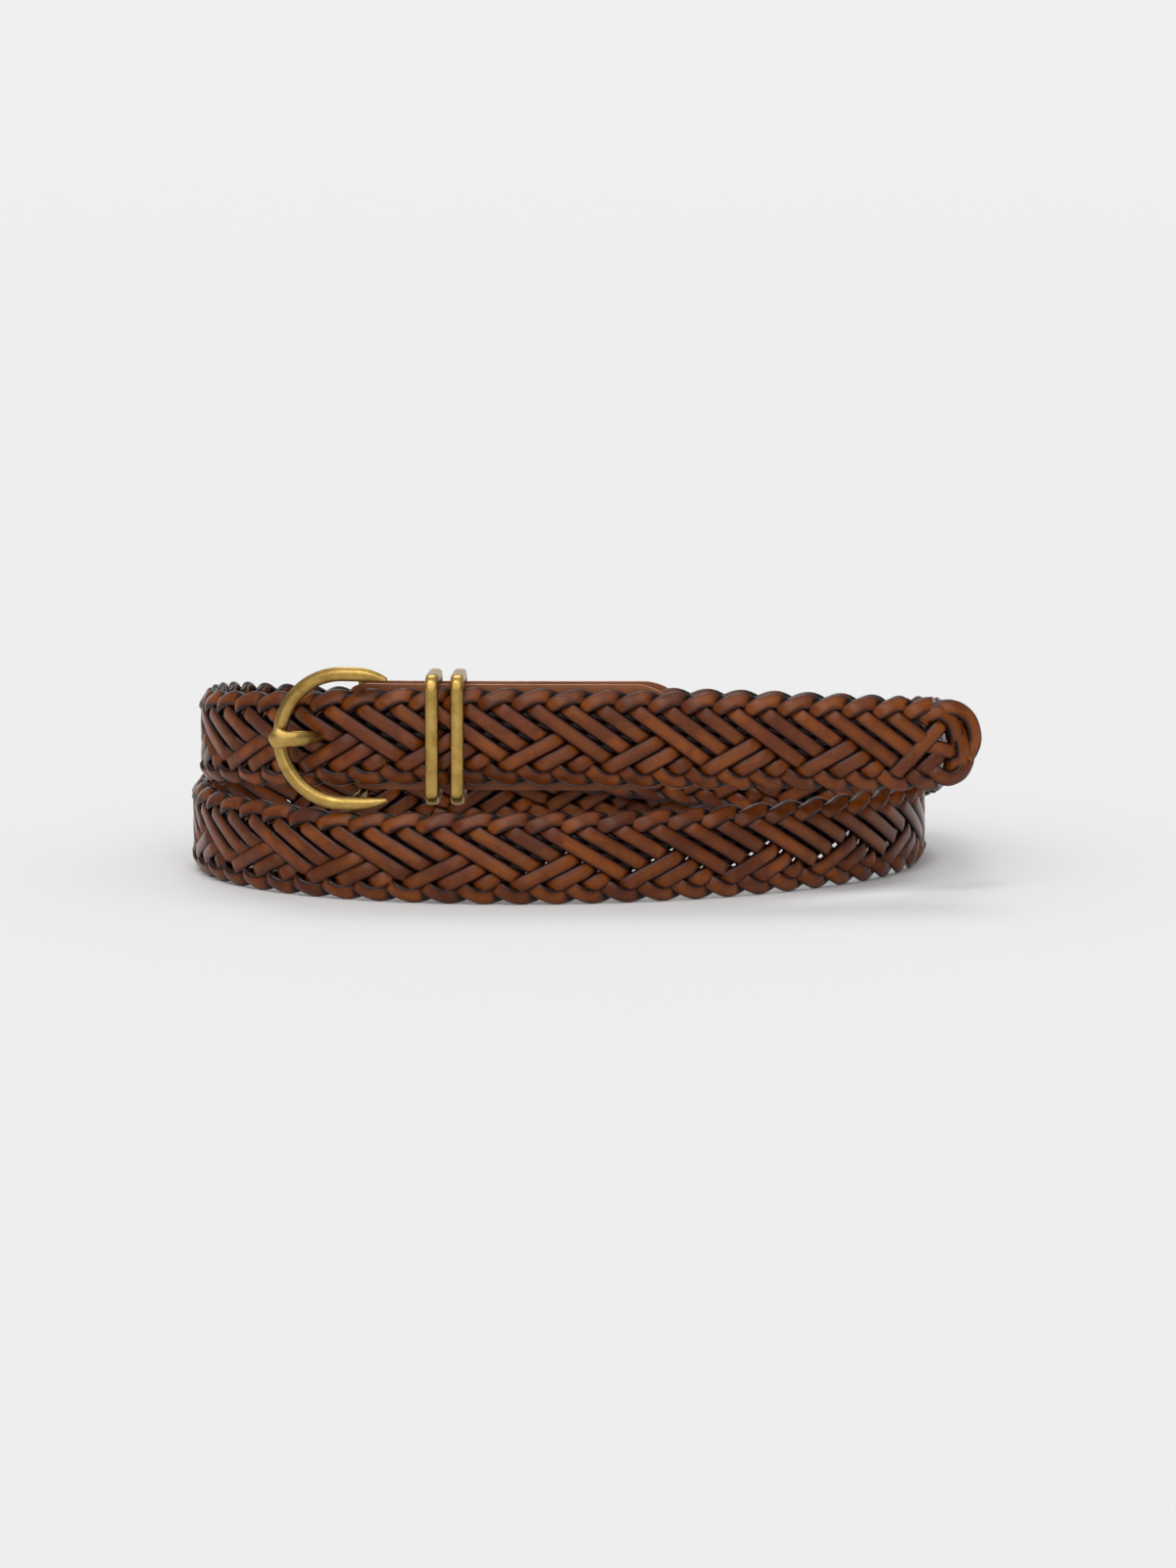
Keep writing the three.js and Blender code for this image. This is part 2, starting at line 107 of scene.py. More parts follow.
TIP_RUN = [
    Station(-0.963, -0.044, 0.974, 0.960, 1.050),
    Station(-0.967, -0.275, 0.984, 0.965, 1.050),
    Station(-0.911, -0.486, 1.036, 0.975, 1.040),
    Station(-0.806, -0.661, 1.076, 0.985, 1.030),
    Station(-0.671, -0.794, 1.120, 1.000, 1.020),
    *(Station(*place, slim=1.0, stretch=stretch)
      for place, stretch in zip(FRONT, (1.015, 1.015, 1.010, 1.010, 0.940))),
    Station(0.577, -0.872, 1.104, 0.990, 0.955),
    Station(0.790, -0.837, 1.088, 0.970, 0.885),
    Station(0.967, -0.769, 1.088, 0.950, 0.700),
]


class Measure(Enum):
    """What a place along the strap is looked up by."""

    RUN = "run"
    PHASE = "phase"


@dataclass(frozen=True)
class Spots:
    """Places along the strap's centre line, a row for each value that was asked for."""

    plan: np.ndarray
    along: np.ndarray
    lift: np.ndarray
    slim: np.ndarray
    run: np.ndarray

    @property
    def outward(self) -> np.ndarray:
        """Unit vectors out of the coil, in plan."""
        return np.stack([self.along[:, 1], -self.along[:, 0], np.zeros(len(self.lift))], axis=1)

    def points(self, out: np.ndarray, up: np.ndarray) -> np.ndarray:
        """Returns points at a distance out of the coil and a height above the lower edge.

        Args:
            out: Distance outwards from the centre line.
            up: Height above the strap's lower edge.

        Returns:
            An array of points, one row each.
        """
        base = np.column_stack([self.plan, self.lift])
        return base + self.outward * np.reshape(out, (-1, 1)) + UP * np.reshape(up, (-1, 1))


def smooth_chain(points: np.ndarray, steps: int) -> np.ndarray:
    """Returns a centripetal Catmull-Rom curve through the points.

    Args:
        points: The points, one row each.
        steps: How many samples to put on each span.

    Returns:
        The samples, one row each, with the last point at the end.
    """
    chain = np.vstack([2 * points[0] - points[1], points, 2 * points[-1] - points[-2]])
    share = (np.arange(steps) / steps)[:, None]
    pieces = []
    for first in range(len(points) - 1):
        a, b, c, d = chain[first:first + 4]
        ab, bc, cd = (np.sqrt(np.linalg.norm(end - start))
                      for start, end in ((a, b), (b, c), (c, d)))
        leave = ((b - a) / ab - (c - a) / (ab + bc) + (c - b) / bc) * bc
        arrive = ((c - b) / bc - (d - b) / (bc + cd) + (d - c) / cd) * bc
        pieces.append(b + leave * share + (3 * (c - b) - 2 * leave - arrive) * share ** 2
                      + (2 * (b - c) + leave + arrive) * share ** 3)
    return np.vstack([*pieces, points[-1:]])


@dataclass
class Winding:
    """The strap's route: twice round the coil, from the buckle's bar to the free end."""

    coil_width: float = 208.8
    coil_depth: float = 149.8
    width: float = 25.0
    thickness: float = 4.8
    pitch: float = 8.6
    tab_wall: float = 1.6
    gap: float = 0.3
    samples_per_station: int = 24
    rows: list[Station] = field(
        default_factory=lambda: [*TAB_RUN, *OUTER_BACK, *LOWER_FRONT, *INNER_BACK, *TIP_RUN])

    def __post_init__(self) -> None:
        """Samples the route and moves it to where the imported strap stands."""
        curve = smooth_chain(self._centre_points(), self.samples_per_station)
        shares = np.arange(len(curve)) / self.samples_per_station
        self.slim = self._column("slim", shares)
        self.plan = curve[:, :2]
        self.lift = np.maximum(curve[:, 2], 0.0)
        steps = np.linalg.norm(np.diff(self.plan, axis=0), axis=1)
        bumps = steps / (self.pitch * self._column("stretch", shares)[1:])
        self.run = np.concatenate([[0.0], np.cumsum(steps)])
        self.phase = np.concatenate([[0.0], np.cumsum(bumps)])
        along = np.gradient(self.plan, axis=0)
        self.along = along / np.linalg.norm(along, axis=1, keepdims=True)
        self.shift = self._shift_to_frame()
        self.plan = self.plan + self.shift

    def _column(self, name: str, shares: np.ndarray) -> np.ndarray:
        """Returns one column of the station table between the stations."""
        values = [getattr(row, name) for row in self.rows]
        return np.interp(shares, np.arange(len(values)), values)

    def _centre_points(self) -> np.ndarray:
        """Moves the outline inwards by what lies outside the strap's centre line."""
        outline = np.array([(row.across * self.coil_width / 2, row.deep * self.coil_depth / 2)
                            for row in self.rows])
        chord = np.vstack([outline[1:], outline[-1:]]) - np.vstack([outline[:1], outline[:-1]])
        chord /= np.linalg.norm(chord, axis=1, keepdims=True)
        inward = np.array([self.thickness / 2 + row.plies * (self.thickness + self.gap)
                           + row.leaves * (self.tab_wall + self.gap) for row in self.rows])
        left = np.column_stack([-chord[:, 1], chord[:, 0]])
        lift = [row.lift * self.width for row in self.rows]
        return np.column_stack([outline + left * inward[:, None], lift])

    def _shift_to_frame(self) -> np.ndarray:
        """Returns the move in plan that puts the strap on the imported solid."""
        normal = np.column_stack([self.along[:, 1], -self.along[:, 0]]) * self.thickness / 2
        faces = np.vstack([self.plan + normal, self.plan - normal])
        low, high = (np.array(corner[:2]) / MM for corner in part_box("braided_strap"))
        return (low + high) / 2 - (faces.min(axis=0) + faces.max(axis=0)) / 2

    def at(self, measure: Measure, values: np.ndarray) -> Spots:
        """Looks places up by run or by phase.

        Args:
            measure: RUN for millimetres from the start, or PHASE for bumps from the start.
            values: The runs or phases.

        Returns:
            The places, one row for each value.
        """
        base = getattr(self, measure.value)
        values = np.atleast_1d(values)

        def read(column: np.ndarray) -> np.ndarray:
            """Returns a sampled column at the values."""
            return np.interp(values, base, column)

        plan = np.column_stack([read(self.plan[:, 0]), read(self.plan[:, 1])])
        along = np.column_stack([read(self.along[:, 0]), read(self.along[:, 1])])
        along /= np.linalg.norm(along, axis=1, keepdims=True)
        return Spots(plan, along, read(self.lift), read(self.slim), read(self.run))


class NodeSheet:
    """A node tree being laid out: adds nodes and links in one short call."""

    def __init__(self, tree: NodeTree) -> None:
        """Keeps the tree that the nodes go into."""
        self.tree = tree

    def fill(self, node: Node, **inputs: object) -> Node:
        """Sets or links a node's sockets.

        Args:
            node: The node.
            inputs: Socket values or output sockets to link, by socket name, with _ for a space,
                or by number as in i0, i1.

        Returns:
            The same node.
        """
        for name, value in inputs.items():
            number = name[1:]
            socket = (node.inputs[int(number)] if name[0] == "i" and number.isdigit()
                      else node.inputs[name.replace("_", " ")])
            if isinstance(value, NodeSocket):
                self.tree.links.new(value, socket)
            else:
                socket.default_value = value
        return node

    def add(self, kind: str, settings: dict | None = None, **inputs: object) -> Node:
        """Adds a node of a type with its own settings, fills its sockets and returns it."""
        node = self.tree.nodes.new(kind)
        for name, value in (settings or {}).items():
            setattr(node, name, value)
        return self.fill(node, **inputs)

    def math(self, operation: str, *values: object) -> NodeSocket:
        """Adds a math node on numbers or sockets and returns its result."""
        inputs = {f"i{index}": value for index, value in enumerate(values)}
        return self.add("ShaderNodeMath", {"operation": operation}, **inputs).outputs[0]

    def remap(self, value: NodeSocket, low: float, high: float,
              to_low: float = 0.0, to_high: float = 1.0) -> NodeSocket:
        """Returns a value eased from one range into another, and clamped there."""
        return self.add("ShaderNodeMapRange", {"interpolation_type": "SMOOTHSTEP"}, Value=value,
                        From_Min=low, From_Max=high, To_Min=to_low, To_Max=to_high).outputs[0]

    def blend(self, factor: object, first: object, second: object,
              mode: str = "MIX") -> NodeSocket:
        """Returns two colours mixed by a factor."""
        return self.add("ShaderNodeMix", {"data_type": "RGBA", "blend_type": mode},
                        i0=factor, i6=first, i7=second).outputs[2]

    def relief(self, height: NodeSocket, strength: float, depth: float) -> NodeSocket:
        """Returns the normal of a surface with a height, given its depth in metres."""
        return self.add("ShaderNodeBump", Strength=strength, Distance=depth,
                        Height=height).outputs[0]

    def noise(self, place: NodeSocket, scale: object, detail: float, **inputs: float) -> NodeSocket:
        """Returns noise over a place."""
        return self.add("ShaderNodeTexNoise", Vector=place, Scale=scale, Detail=detail,
                        **inputs).outputs[0]


class SharedEffect(Enum):
    """The shader node groups that more than one finish uses."""

    LEATHER_GRAIN = "leather grain"
    SATIN_BRUSH = "satin brush"


def effect_group(effect: SharedEffect) -> NodeTree:
    """Builds a shared shader group once, and returns it.

    Args:
        effect: Which of the shared effects.

    Returns:
        The node group.
    """
    found = bpy.data.node_groups.get(effect.value)
    if found:
        return found
    tree = bpy.data.node_groups.new(effect.value, "ShaderNodeTree")
    makers = {SharedEffect.LEATHER_GRAIN: _leather_grain, SharedEffect.SATIN_BRUSH: _satin_brush}
    makers[effect](tree)
    return tree


def declare(tree: NodeTree, way: str, kind: str, **values: float | None) -> None:
    """Adds named sockets to a node group.

    Args:
        tree: The group.
        way: INPUT or OUTPUT.
        kind: What the sockets carry, such as Float.
        values: Each socket's value, or None, by the socket's name with _ for a space.
    """
    for name, value in values.items():
        socket = tree.interface.new_socket(name=name.replace("_", " "), in_out=way,
                                           socket_type=f"NodeSocket{kind}")
        if value is not None:
            socket.default_value = value


def _leather_grain(tree: NodeTree) -> None:
    """Fills the leather group: cloudy dye, pores and fine streaks."""
    declare(tree, "INPUT", "Vector", Vector=None)
    declare(tree, "INPUT", "Float", Cloud_Scale=90.0, Pore_Scale=2600.0)
    declare(tree, "OUTPUT", "Float", Dye=None, Pores=None)
    sheet = NodeSheet(tree)
    given = sheet.add("NodeGroupInput").outputs
    cloud = sheet.noise(given["Vector"], given["Cloud Scale"], 4.0, Roughness=0.6, Distortion=0.4)
    pores = sheet.add("ShaderNodeTexVoronoi", {"feature": "SMOOTH_F1"}, Vector=given["Vector"],
                      Scale=given["Pore Scale"], Smoothness=0.6).outputs["Distance"]
    speck = sheet.noise(given["Vector"], sheet.math("MULTIPLY", given["Pore Scale"], 0.35), 3.0,
                        Roughness=0.7)
    height = sheet.math("ADD", sheet.math("MULTIPLY", pores, 0.6),
                        sheet.math("MULTIPLY", speck, 0.8))
    sheet.add("NodeGroupOutput", Dye=sheet.remap(cloud, 0.32, 0.68), Pores=height)


def _satin_brush(tree: NodeTree) -> None:
    """Fills the brass group: fine tumbling marks and slow tarnish."""
    declare(tree, "INPUT", "Vector", Vector=None)
    declare(tree, "INPUT", "Float", Mark_Scale=1800.0)
    declare(tree, "OUTPUT", "Float", Tarnish=None, Marks=None)
    sheet = NodeSheet(tree)
    given = sheet.add("NodeGroupInput").outputs
    tarnish = sheet.noise(given["Vector"], 160.0, 5.0, Roughness=0.65)
    marks = sheet.noise(given["Vector"], given["Mark Scale"], 4.0, Roughness=0.75)
    sheet.add("NodeGroupOutput", Tarnish=sheet.remap(tarnish, 0.35, 0.7), Marks=marks)


def new_material(name: str) -> tuple[Material, NodeSheet, Node]:
    """Returns an empty material with its node sheet and its Principled shader."""
    material = bpy.data.materials.new(name)
    material.use_nodes = True
    material.node_tree.nodes.clear()
    sheet = NodeSheet(material.node_tree)
    shader = sheet.add("ShaderNodeBsdfPrincipled")
    sheet.add("ShaderNodeOutputMaterial", Surface=shader.outputs[0])
    return material, sheet, shader


def shared(sheet: NodeSheet, effect: SharedEffect,
           **inputs: float) -> bpy.types.bpy_prop_collection:
    """Puts a shared effect into a material, over the piece's own coordinates.

    Args:
        sheet: The material's sheet.
        effect: Which effect.
        inputs: The effect's values by name, with _ for a space.

    Returns:
        The effect's outputs.
    """
    where = sheet.add("ShaderNodeTexCoord").outputs["Object"]
    return sheet.add("ShaderNodeGroup", {"node_tree": effect_group(effect)}, Vector=where,
                     **inputs).outputs


Colour = tuple[float, float, float, float]
Span = tuple[float, float]


@dataclass(frozen=True)
class LaceFinish:
    """Glazed leather lace: orange-brown faces and dark sides that are partly burnished dye and
    partly painted shade. Faces turned into the braid, in the gaps between laces, take near-black
    painted shade.

    A share across the lace is 0 at its middle and 1 at its sides.
    """

    name: str = "braided lace leather"
    face: Colour = (0.082, 0.0160, 0.0040, 1.0)
    warm: Colour = (0.235, 0.0590, 0.0045, 1.0)
    # Dark side colour: partly the lace's real burnished edge, partly painted shade where
    # neighbouring laces meet
    edge: Colour = (0.015, 0.0034, 0.0018, 1.0)
    # Near-black painted shade for the faces that turn into the braid, between laces
    painted_gap_shade: Colour = (0.003, 0.0015, 0.0012, 1.0)
    warm_across: Span = (0.80, 0.15)
    least_warm: float = 0.15
    burnish_and_shade_across: Span = (0.56, 0.92)
    # How far a face turns into the braid, from no painted gap shade to full painted gap shade
    painted_gap_shade_span: Span = (0.05, -0.5)
    tones: Span = (0.82, 1.12)
    streaks_along: float = 60.0
    streaks_across: float = 5.0
    roughness: Span = (0.32, 0.16)
    specular: float = 0.26
    relief: float = 0.45

    def build(self) -> Material:
        """Returns the material; it reads the across, crown, lay, along and tone of a lace."""
        material, sheet, shader = new_material(self.name)
        read = {name: sheet.add("ShaderNodeAttribute", {"attribute_name": name}).outputs["Fac"]
                for name in ("across", "crown", "lay", "along", "tone")}
        grain = shared(sheet, SharedEffect.LEATHER_GRAIN)
        place = sheet.add("ShaderNodeCombineXYZ", Z=read["tone"],
                          X=sheet.math("MULTIPLY", read["along"], self.streaks_along),
                          Y=sheet.math("MULTIPLY", read["across"], self.streaks_across))
        streaks = sheet.noise(place.outputs[0], 3.0, 5.0, Roughness=0.7)
        side = sheet.math("ABSOLUTE", read["across"])
        mottle = sheet.math("MULTIPLY", sheet.remap(streaks, 0.30, 0.62, 0.25, 1.0),
                            sheet.remap(grain["Dye"], 0.0, 1.0, 0.20, 1.0))
        stain = sheet.math("MULTIPLY", mottle,
                           sheet.remap(side, *self.warm_across, self.least_warm, 1.0))
        colour = sheet.blend(stain, self.face, self.warm)
        shade = sheet.remap(read["tone"], 0.0, 1.0, *self.tones)
        colour = sheet.blend(1.0, colour, shade, "MULTIPLY")
        # Lace sides take the dark side colour: partly real burnish, partly painted shade where
        # laces meet
        colour = sheet.blend(sheet.remap(side, *self.burnish_and_shade_across), colour, self.edge)
        # Faces turned towards the braid's other layer go near black: painted shade in the gaps
        # between laces
        exposed = sheet.math("MULTIPLY", read["crown"], read["lay"])
        colour = sheet.blend(sheet.remap(exposed, *self.painted_gap_shade_span), colour, self.painted_gap_shade)
        height = sheet.math("ADD", streaks, sheet.math("MULTIPLY", grain["Pores"], 0.3))
        sheet.fill(shader, Base_Color=colour, Specular_IOR_Level=self.specular,
                   Roughness=sheet.remap(streaks, 0.3, 0.7, *self.roughness),
                   Normal=sheet.relief(height, self.relief, 0.00012))
        return material


@dataclass(frozen=True)
class TabFinish:
    """Smooth red-brown leather."""

    name: str = "smooth tab leather"
    face: Colour = (0.19, 0.058, 0.022, 1.0)
    warm: Colour = (0.27, 0.092, 0.032, 1.0)
    cloud_scale: float = 60.0
    pore_scale: float = 2200.0
    relief: float = 0.3
    roughness: float = 0.46
    specular: float = 0.25

    def build(self) -> Material:
        """Returns the material."""
        material, sheet, shader = new_material(self.name)
        grain = shared(sheet, SharedEffect.LEATHER_GRAIN, Cloud_Scale=self.cloud_scale,
                       Pore_Scale=self.pore_scale)
        sheet.fill(shader, Base_Color=sheet.blend(grain["Dye"], self.face, self.warm),
                   Roughness=self.roughness, Specular_IOR_Level=self.specular,
                   Normal=sheet.relief(grain["Pores"], self.relief, 0.0001))
        return material


@dataclass(frozen=True)
class CutEdgeFinish(TabFinish):
    """Raw cut edge of the tab: the same leather, paler, fibrous and matt."""

    name: str = "cut leather edge"
    face: Colour = (0.30, 0.135, 0.085, 1.0)
    warm: Colour = (0.52, 0.28, 0.19, 1.0)
    cloud_scale: float = 420.0
    pore_scale: float = 3200.0
    relief: float = 0.4
    roughness: float = 0.7
    specular: float = 0.3


@dataclass(frozen=True)
class BrassFinish:
    """Satin antique brass."""

    name: str = "satin antique brass"
    metal: Colour = (0.50, 0.325, 0.095, 1.0)
    tarnish: Colour = (0.31, 0.190, 0.045, 1.0)
    roughness: Span = (0.26, 0.37)
    relief: float = 0.05

    def build(self) -> Material:
        """Returns the material."""
        material, sheet, shader = new_material(self.name)
        brush = shared(sheet, SharedEffect.SATIN_BRUSH)
        sheet.fill(shader, Metallic=1.0,
                   Base_Color=sheet.blend(brush["Tarnish"], self.metal, self.tarnish),
                   Roughness=sheet.remap(brush["Marks"], 0.35, 0.65, *self.roughness),
                   Normal=sheet.relief(brush["Marks"], self.relief, 0.00005))
        return material


@dataclass(frozen=True)
class FloorFinish:
    """Plain pale studio paper."""

    name: str = "studio paper"
    colour: Colour = (0.80, 0.80, 0.80, 1.0)
    fibre: Colour = (0.79, 0.79, 0.79, 1.0)

    def build(self) -> Material:
        """Returns the material."""
        material, sheet, shader = new_material(self.name)
        fibre = sheet.noise(sheet.add("ShaderNodeTexCoord").outputs["Object"], 900.0, 3.0)
        sheet.fill(shader, Base_Color=sheet.blend(fibre, self.colour, self.fibre), Roughness=0.95,
                   Specular_IOR_Level=0.0)
        return material


def new_object(name: str, data: bpy.types.ID) -> Object:
    """Returns a linked object at the origin that shows a mesh, light or camera."""
    item = bpy.data.objects.new(name, data)
    bpy.context.scene.collection.objects.link(item)
    return item


def settle(item: Object) -> None:
    """Keeps what an object's modifiers make as its plain mesh, and removes them."""
    ready = item.evaluated_get(bpy.context.evaluated_depsgraph_get())
    result = bpy.data.meshes.new_from_object(ready)
    item.modifiers.clear()
    item.data = result


def keep_piece(item: Object, node: str) -> None:
    """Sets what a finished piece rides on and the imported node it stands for.

    Args:
        item: The piece.
        node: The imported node.
    """
    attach(item, ROOT_BODY)
    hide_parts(node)
    log.info("%s: %d faces", item.name, len(item.data.polygons))


def ring_mesh(name: str, rings: np.ndarray, looped: bool) -> Mesh:
    """Builds a smooth skin through rings of points, capped or joined into a loop.

    Args:
        name: The mesh's name.
        rings: Points in millimetres, as rings by points by three.
        looped: True to join the last ring to the first.

    Returns:
        The mesh, in metres, with its faces pointing outwards.
    """
    count, sides, _ = rings.shape
    spans = count if looped else count - 1
    here = np.arange(spans)[:, None] * sides
    there = (np.arange(spans)[:, None] + 1) % count * sides
    side = np.arange(sides)[None, :]
    turn = (side + 1) % sides
    quads = np.stack([here + side, here + turn, there + turn, there + side], axis=2)
    faces = quads.reshape(-1, 4).tolist()
    if not looped:
        last = (count - 1) * sides
        faces += [list(range(sides - 1, -1, -1)), [last + index for index in range(sides)]]
    points = rings.reshape(-1, 3)
    centre = points.mean(axis=0)
    volume = sum(np.dot(points[face[0]] - centre, np.cross(points[face[1]] - centre,
                                                         points[face[2]] - centre))
                 for face in faces)
    if volume < 0:
        faces = [face[::-1] for face in faces]
    mesh = bpy.data.meshes.new(name)
    mesh.from_pydata((points * MM).tolist(), [], faces)
    mesh.shade_smooth()
    return mesh


def rounded_section(wide: float, deep: float, power: float, sides: int) -> np.ndarray:
    """Returns a closed section between an ellipse and a box, as rows of (across, out)."""
    turn = (np.arange(sides) + 0.5) / sides * 2 * math.pi
    pair = np.column_stack([np.cos(turn), np.sin(turn)])
    shaped = np.sign(pair) * np.abs(pair) ** (2 / power)
    return shaped * [wide / 2, deep / 2]


def smoothstep(value: np.ndarray, low: float, high: float) -> np.ndarray:
    """Returns an eased share of the way from low to high."""
    share = np.clip((value - low) / (high - low), 0.0, 1.0)
    return share * share * (3 - 2 * share)


def lace_sweep_tree() -> NodeTree:
    """Builds the Geometry Nodes tree that sweeps a lace's section along its route.

    Returns:
        The tree, whose source is a chain of edges with facing and lay values on its points.
    """
    tree = bpy.data.node_groups.new("lace sweep", "GeometryNodeTree")
    for way in ("OUTPUT", "INPUT"):
        declare(tree, way, "Geometry", Geometry=None)
    declare(tree, "INPUT", "Float", Lace_Width=None, Lace_Thickness=None, Section_Power=None)
    declare(tree, "INPUT", "Int", Sides=None)
    declare(tree, "INPUT", "Material", Finish=None)
    sheet = NodeSheet(tree)
    given = sheet.add("NodeGroupInput").outputs
    place = sheet.add("ShaderNodeSeparateXYZ",
                      Vector=sheet.add("GeometryNodeInputPosition").outputs[0]).outputs
    section = sheet.add("GeometryNodeCurvePrimitiveCircle", {"mode": "RADIUS"},
                        Resolution=given["Sides"], Radius=1.0).outputs["Curve"]
    for name, value in (("crown", place["X"]), ("across", place["Y"])):
        section = sheet.add("GeometryNodeStoreNamedAttribute", {"data_type": "FLOAT"},
                            Geometry=section, Name=name, Value=value).outputs[0]
    power = sheet.math("DIVIDE", 2.0, given["Section Power"])

    def squared(value: NodeSocket, size: NodeSocket) -> NodeSocket:
        """Returns one coordinate of the circle moved out towards a box of that size."""
        grown = sheet.math("POWER", sheet.math("ABSOLUTE", value), power)
        signed = sheet.math("MULTIPLY", grown, sheet.math("SIGN", value))
        return sheet.math("MULTIPLY", signed, sheet.math("MULTIPLY", size, 0.5))

    shaped = sheet.add("ShaderNodeCombineXYZ", X=squared(place["X"], given["Lace Thickness"]),
                       Y=squared(place["Y"], given["Lace Width"])).outputs[0]
    section = sheet.add("GeometryNodeSetPosition", Geometry=section, Position=shaped).outputs[0]
    route = sheet.add("GeometryNodeMeshToCurve", Mesh=given["Geometry"]).outputs[0]
    facing = sheet.add("GeometryNodeInputNamedAttribute", {"data_type": "FLOAT_VECTOR"},
                       Name="facing").outputs["Attribute"]
    route = sheet.add("GeometryNodeSetCurveNormal", {"mode": "FREE"}, Curve=route,
                      Normal=facing).outputs[0]
    length = sheet.add("GeometryNodeSplineParameter").outputs["Length"]
    route = sheet.add("GeometryNodeStoreNamedAttribute", {"data_type": "FLOAT"},
                      Geometry=route, Name="along", Value=length).outputs[0]
    swept = sheet.add("GeometryNodeCurveToMesh", Curve=route, Profile_Curve=section,
                      Fill_Caps=True).outputs[0]
    smooth = sheet.add("GeometryNodeSetShadeSmooth", Geometry=swept, Shade_Smooth=True).outputs[0]
    real = sheet.add("GeometryNodeRealizeInstances", Geometry=smooth).outputs[0]
    dressed = sheet.add("GeometryNodeSetMaterial", Geometry=real, Material=given["Finish"])
    sheet.add("NodeGroupOutput", Geometry=dressed.outputs[0])
    return tree


def grow(item: Object, tree: NodeTree, values: dict[str, object]) -> None:
    """Runs a Geometry Nodes tree on an object and keeps its result as a plain mesh.

    Args:
        item: The object that holds the source mesh.
        tree: The tree.
        values: The tree's inputs by name.
    """
    modifier = item.modifiers.new("grow", "NODES")
    modifier.node_group = tree
    for socket in tree.interface.items_tree:
        if socket.in_out == "INPUT" and socket.name in values:
            modifier[socket.identifier] = values[socket.name]
    settle(item)


@dataclass(frozen=True)
class LaceRoute:
    """A lace's middle line in millimetres, with its facing, its layer and where it is shown."""

    points: np.ndarray
    facing: np.ndarray
    layer: np.ndarray
    shown: np.ndarray


class Leg(Enum):
    """A lace crosses the strap downwards or upwards as it runs to the right."""

    DOWN = 4
    UP = 5


class Side(Enum):
    """The strap's front or its back, as the sign of the way out of the coil."""

    FRONT = 1
    BACK = -1


# Laces that bind the round free end. Each is a chain of places: distance from the end, height
# above the middle, and layer, 1 at the front and -1 at the back.
TIP_LACES = (
    ((25.5, -9.4, -0.6), (23.6, -7.6, 0.7), (20.0, -4.0, 1.0), (15.3, 1.0, 1.0),
     (11.9, 4.4, 0.7), (10.3, 6.0, -0.4)),
    ((16.4, 5.6, -0.4), (15.0, 7.3, 0.5), (12.0, 8.2, 1.0), (8.75, 6.0, 1.1),
     (7.25, 1.6, 0.8), (7.4, -0.6, -0.4)),
    ((14.0, 7.6, -0.4), (11.2, 9.0, 0.6), (7.4, 9.0, 1.0), (3.9, 6.4, 1.0),
     (2.3, 1.4, 0.7), (3.0, -1.8, 0.0), (4.6, -3.8, -0.8)),
    ((7.4, 5.4, -0.8), (6.5, 3.4, 0.2), (5.6, -0.6, 0.9), (6.1, -4.1, 0.9),
     (8.4, -5.8, 0.3), (9.8, -6.0, -0.6)),
    ((14.6, -5.4, -0.5), (13.2, -7.0, 0.5), (9.5, -8.8, 1.0), (6.2, -7.6, 1.0),
     (4.4, -5.0, 0.4), (3.8, -2.6, -0.6)),
    ((16.2, -0.2, -0.5), (13.8, -0.6, 0.4), (11.0, -1.3, 0.6), (8.25, -2.1, 0.3),
     (6.6, -2.4, -1.0)),
    ((17.6, -8.2, -0.5), (15.3, -5.8, 0.4), (12.0, -3.1, 0.4), (10.2, -1.4, -0.5)),
)
# Height above the middle, and how far from the end the plaited laces stop there: those that run
# down to the right, then those that run up
PLAIT_STOPS = (
    (-12.5, 12.5, 12.5), (-8.8, 12.0, 12.0), (-7.6, 13.5, 22.6), (-6.0, 16.0, 21.2),
    (-4.5, 20.5, 20.3), (1.0, 14.8, 14.8), (3.4, 14.6, 14.6), (5.0, 16.5, 16.5),
    (7.6, 18.0, 18.0), (8.6, 13.2, 13.2), (12.5, 13.2, 13.2),
)


